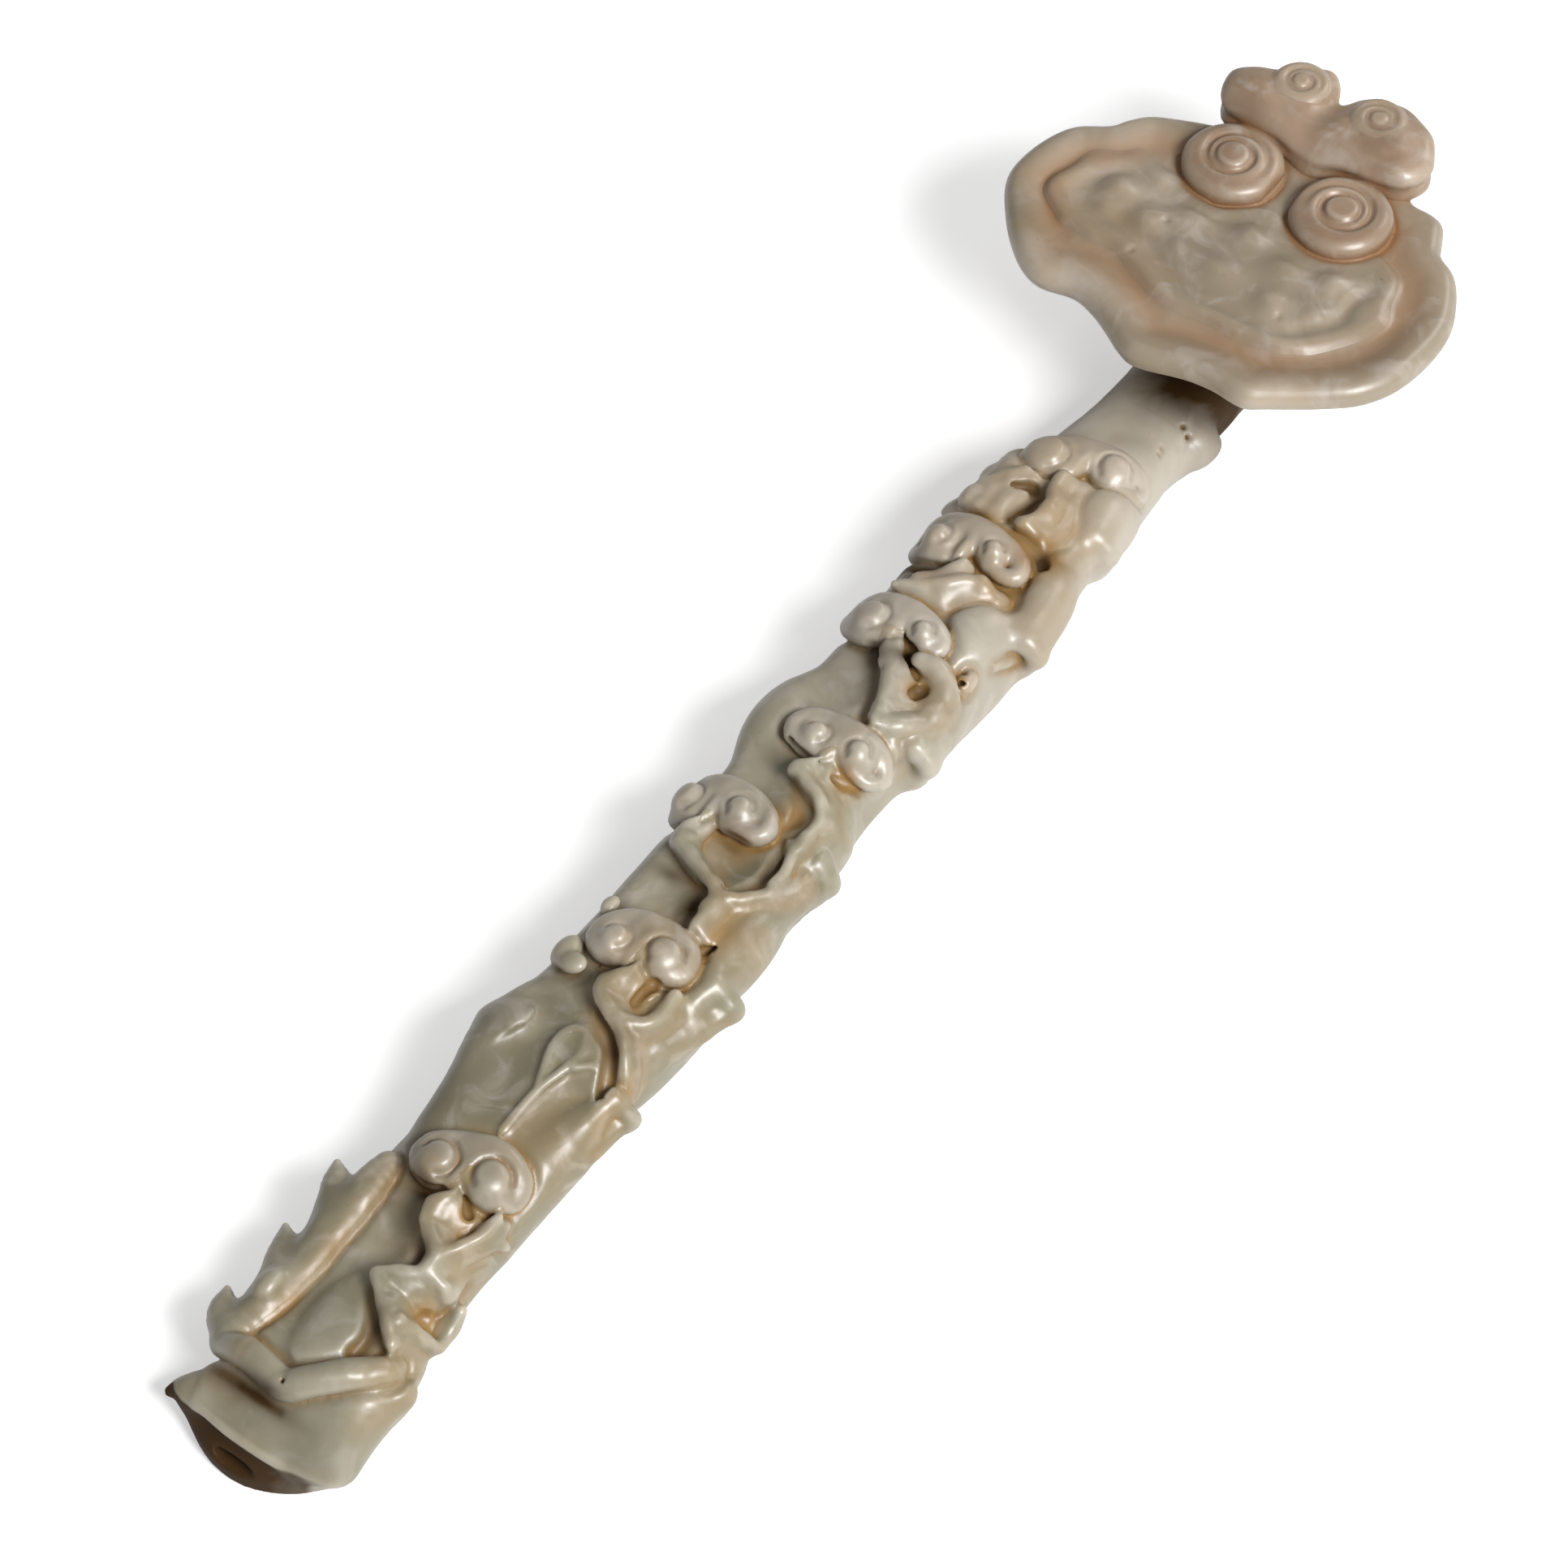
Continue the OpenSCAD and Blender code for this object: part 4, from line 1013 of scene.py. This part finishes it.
# Jade
# Polished nephrite: pale grey-green with a milky mottle, russet where the pebble's skin is left in
# hollows, brown in the deepest pockets, small dark pits, and a soft high polish over all. Painted
# shade darkens the wide hollows and the left flank, and painted shadow the neck under the head.
class Wire:
    """Output of a shader node, so that sums on it make Math nodes."""

    def __init__(self, tree, socket):
        self.tree = tree
        self.socket = socket

    def node(self, kind, sockets, out=0, **settings):
        """Any other node: values or wires for its sockets, which output is meant, and its settings."""
        made = self.tree.nodes.new(kind)
        for key, value in settings.items():
            setattr(made, key, value)
        for key, value in sockets.items():
            if isinstance(value, Wire):
                self.tree.links.new(value.socket, made.inputs[key])
            else:
                made.inputs[key].default_value = value
        return Wire(self.tree, made.outputs[out])

    def math(self, operation, a, b):
        return self.node("ShaderNodeMath", {0: a, 1: b}, operation=operation)

    def __add__(self, other):
        return self.math("ADD", self, other)

    __radd__ = __add__

    def __sub__(self, other):
        return self.math("SUBTRACT", self, other)

    def __rsub__(self, other):
        return self.math("SUBTRACT", other, self)

    def __mul__(self, other):
        return self.math("MULTIPLY", self, other)

    __rmul__ = __mul__

    def step(self, start, stop):
        """Smooth rise from 0 to 1 between two values."""
        return self.node("ShaderNodeMapRange", {0: self, 1: start, 2: stop}, interpolation_type="SMOOTHSTEP")

    def clamp(self):
        return self.node("ShaderNodeClamp", {0: self})

    def cover(self):
        """Make this shader the material's surface."""
        self.tree.links.new(self.socket, self.tree.nodes["Material Output"].inputs["Surface"])


def colour(code):
    """Linear colour from the six figures of a screen colour."""
    parts = [int(code[i:i + 2], 16) / 255 for i in (0, 2, 4)]
    return tuple(p / 12.92 if p <= 0.04045 else ((p + 0.055) / 1.055) ** 2.4 for p in parts) + (1.0,)


def begin(title):
    """New material, and a wire to start its nodes from."""
    material = bpy.data.materials.new(title)
    material.use_nodes = True
    tree = material.node_tree
    tree.nodes.remove(tree.nodes["Principled BSDF"])
    return material, Wire(tree, None)


def jade(title, pale, grey, warm, brown):
    """Stone in four colours: two for its mottle, its russet skin, and the brown in its pockets, which also
    paints shade and shadow.
    """
    material, start = begin(title)
    place = start.node("ShaderNodeTexCoord", {}, "Object")

    def along(axis):
        return start.node("ShaderNodeSeparateXYZ", {0: place}, axis)

    def cloudy(scale, detail=3.0, distortion=0.0):
        return start.node("ShaderNodeTexNoise", {"Vector": place, "Scale": scale, "Detail": detail,
                                                 "Roughness": 0.55, "Distortion": distortion})

    near, wide, crease, depth, russet, dark_mark = (
        start.node("ShaderNodeAttribute", {}, "Fac", attribute_name=mark) for mark in mark_names)
    hollow = near.step(0.52, 0.72)
    # painted shade: darker where a point lies in a wide hollow; the same mark also adds russet
    shade = wide.step(0.52, 0.74)
    broad = cloudy(28.0, 4.0, 0.6)
    milk = cloudy(110.0, 5.0, 1.0)
    tail_end = 1.0 - along("Y").step(-0.185, -0.13)
    upper = along("Y").step(-0.03, 0.05) * (1.0 - along("Z").step(0.034, 0.04))
    worn = ((0.47 - near) * 5.0).clamp()
    stain = cloudy(19.0, 3.0, 0.8).step(0.5, 0.68)
    rust = (hollow * 0.6 + crease * 0.5 + shade * 0.3) * (0.55 + 0.9 * broad.step(0.35, 0.65)) + russet * 0.8
    rust = ((rust * 0.85 + depth * 0.7) * (0.75 + 0.5 * milk)).clamp()
    # brown skin in the pockets and creases, together with the painted shade and shadow that the dark marks
    # carry
    soil_and_shade = ((depth * 0.35 + dark_mark * 1.05 + crease * hollow * 0.4) * (0.7 + 0.6 * milk)).clamp()
    pits = cloudy(900.0, 2.0).step(0.72, 0.78) * cloudy(60.0, 2.0).step(0.5, 0.7)
    # layers from the inside out: milky stone, greener at the tail and paler towards the head and on
    # worn edges, then stains, painted shade in the wide hollows, russet skin, brown in the deepest
    # places together with the painted shade and shadow of the dark marks, and small pits
    tint = colour(pale)
    for share, code in (
            (broad.step(0.36, 0.6), grey), (milk.step(0.48, 0.7) * 0.45, "B4ACA4"),
            (tail_end * 0.4, "7C7A68"), (upper * 0.55, "BEB5A9"), (worn * 0.65, "BFB8AA"),
            (stain * 0.45, "8E7650"), (shade * 0.2, "6F6349"),
            (rust, warm), (soil_and_shade, brown), (pits * 0.5, "2A2210")):
        tint = start.node("ShaderNodeMix", {0: share, 6: tint, 7: colour(code)}, 2, data_type="RGBA")
    rough = 0.39 + hollow * 0.16 + soil_and_shade * 0.2 + 0.10 * milk - 0.05
    bumps = start.node("ShaderNodeBump", {"Strength": 0.25, "Distance": 0.0004, "Height": cloudy(260.0)})
    polished = start.node("ShaderNodeBsdfPrincipled", {
        "Base Color": tint, "Roughness": rough, "IOR": 1.6, "Coat Weight": 0.15, "Coat Roughness": 0.2,
        "Subsurface Weight": 0.3, "Subsurface Radius": (1.0, 0.8, 0.5), "Subsurface Scale": 0.003,
        "Normal": bumps})
    dull = start.node("ShaderNodeBsdfPrincipled", {"Base Color": tint, "Roughness": 0.75, "IOR": 1.2})
    start.node("ShaderNodeMixShader", {0: soil_and_shade * 0.85, 1: polished, 2: dull}).cover()
    return material


stone_jade = jade("stone_jade", "9A937F", "7A7560", "90703F", "3A260C")
pale_jade = jade("pale_jade", "A69C8C", "888070", "94704A", "3E2A10")
head_jade = jade("head_jade", "A89A88", "8D806C", "98704A", "3E2A10")
warm_jade = jade("warm_jade", "A18A74", "87705A", "8C6340", "3E2A10")
coats = dict.fromkeys(caps, ("pale_stone", pale_jade))
for name in ("head_plate", "head_cloud", "crest_curl_left", "crest_curl_right"):
    coats[name] = ("pale_stone", head_jade)
for name in ("volute_left", "volute_right", "crest"):
    coats[name] = ("warm_stone", warm_jade)
coats["burl_rim"] = ("warm_stone", stone_jade)
# blocks that reach further than their box, and how fine each is, in millimetres
blocks = {"shaft": ((8, 1, 0), (8, 2, 3), 0.6), "neck": ((4, 2, 0), (4, 4, 3), 0.45),
          "head_plate": ((1, 1, 1), (1, 1, 2), 0.5), "crest": ((1, 1, 1), (1, 1, 2), 0.5)}


def reach(name):
    """Corners of the block a piece is cut from."""
    margin = 2.2
    form = forms.get(name)
    if isinstance(form, Form):
        low = np.min([p[0] for p in form.parts], 0) + FAR
        high = np.max([p[1] for p in form.parts], 0) - FAR
    else:
        low, high = (np.array(corner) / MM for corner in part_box(name))
    return low - margin, high + margin


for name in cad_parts:
    low, high = reach(name)
    below, above, fineness = blocks.get(name, (0, 0, 0.45))
    piece = carve(name, low - below, high + above, fineness)
    slot_name, coat = coats.get(name, ("stone", stone_jade))
    piece.data.materials.append(coat)

# Floor and light
# White table and a plain white room. A broad lamp stands to the right and above, so the
# shadow falls soft and grey to the left of the sceptre.
table = bpy.data.meshes.new("floor")
table.from_pydata([(-3, -3, 0), (3, -3, 0), (3, 3, 0), (-3, 3, 0)], [], [(0, 1, 2, 3)])
floor = put("floor", table)
paper, start = begin("paper")
glow = start.node("ShaderNodeLightPath", {}, "Is Camera Ray") * 0.42
start.node("ShaderNodeBsdfPrincipled", {
    "Base Color": (0.9, 0.9, 0.9, 1), "Roughness": 0.9, "Specular IOR Level": 0.1,
    "Emission Color": (1, 1, 1, 1), "Emission Strength": glow}).cover()
table.materials.append(paper)

room = bpy.data.worlds.new("room")
bpy.context.scene.world = room
room.use_nodes = True
room.node_tree.nodes["Background"].inputs["Color"].default_value = (1, 1, 1, 1)
room.node_tree.nodes["Background"].inputs["Strength"].default_value = 0.28

for title, place, target, power in (
        ("key", (1.08, -0.3, 1.06), (0, 0.02, 0), 29), ("back", (0.5, 1.4, 1.0), (0, 0, 0), 5)):
    light = bpy.data.lights.new(title, "AREA")
    light.shape = "SQUARE"
    light.size = 0.6
    light.energy = power
    holder = put(title, light)
    holder.location = place
    holder.rotation_euler = (Vector(place) - Vector(target)).to_track_quat("Z", "Y").to_euler()

bpy.context.scene.view_settings.view_transform = "Standard"
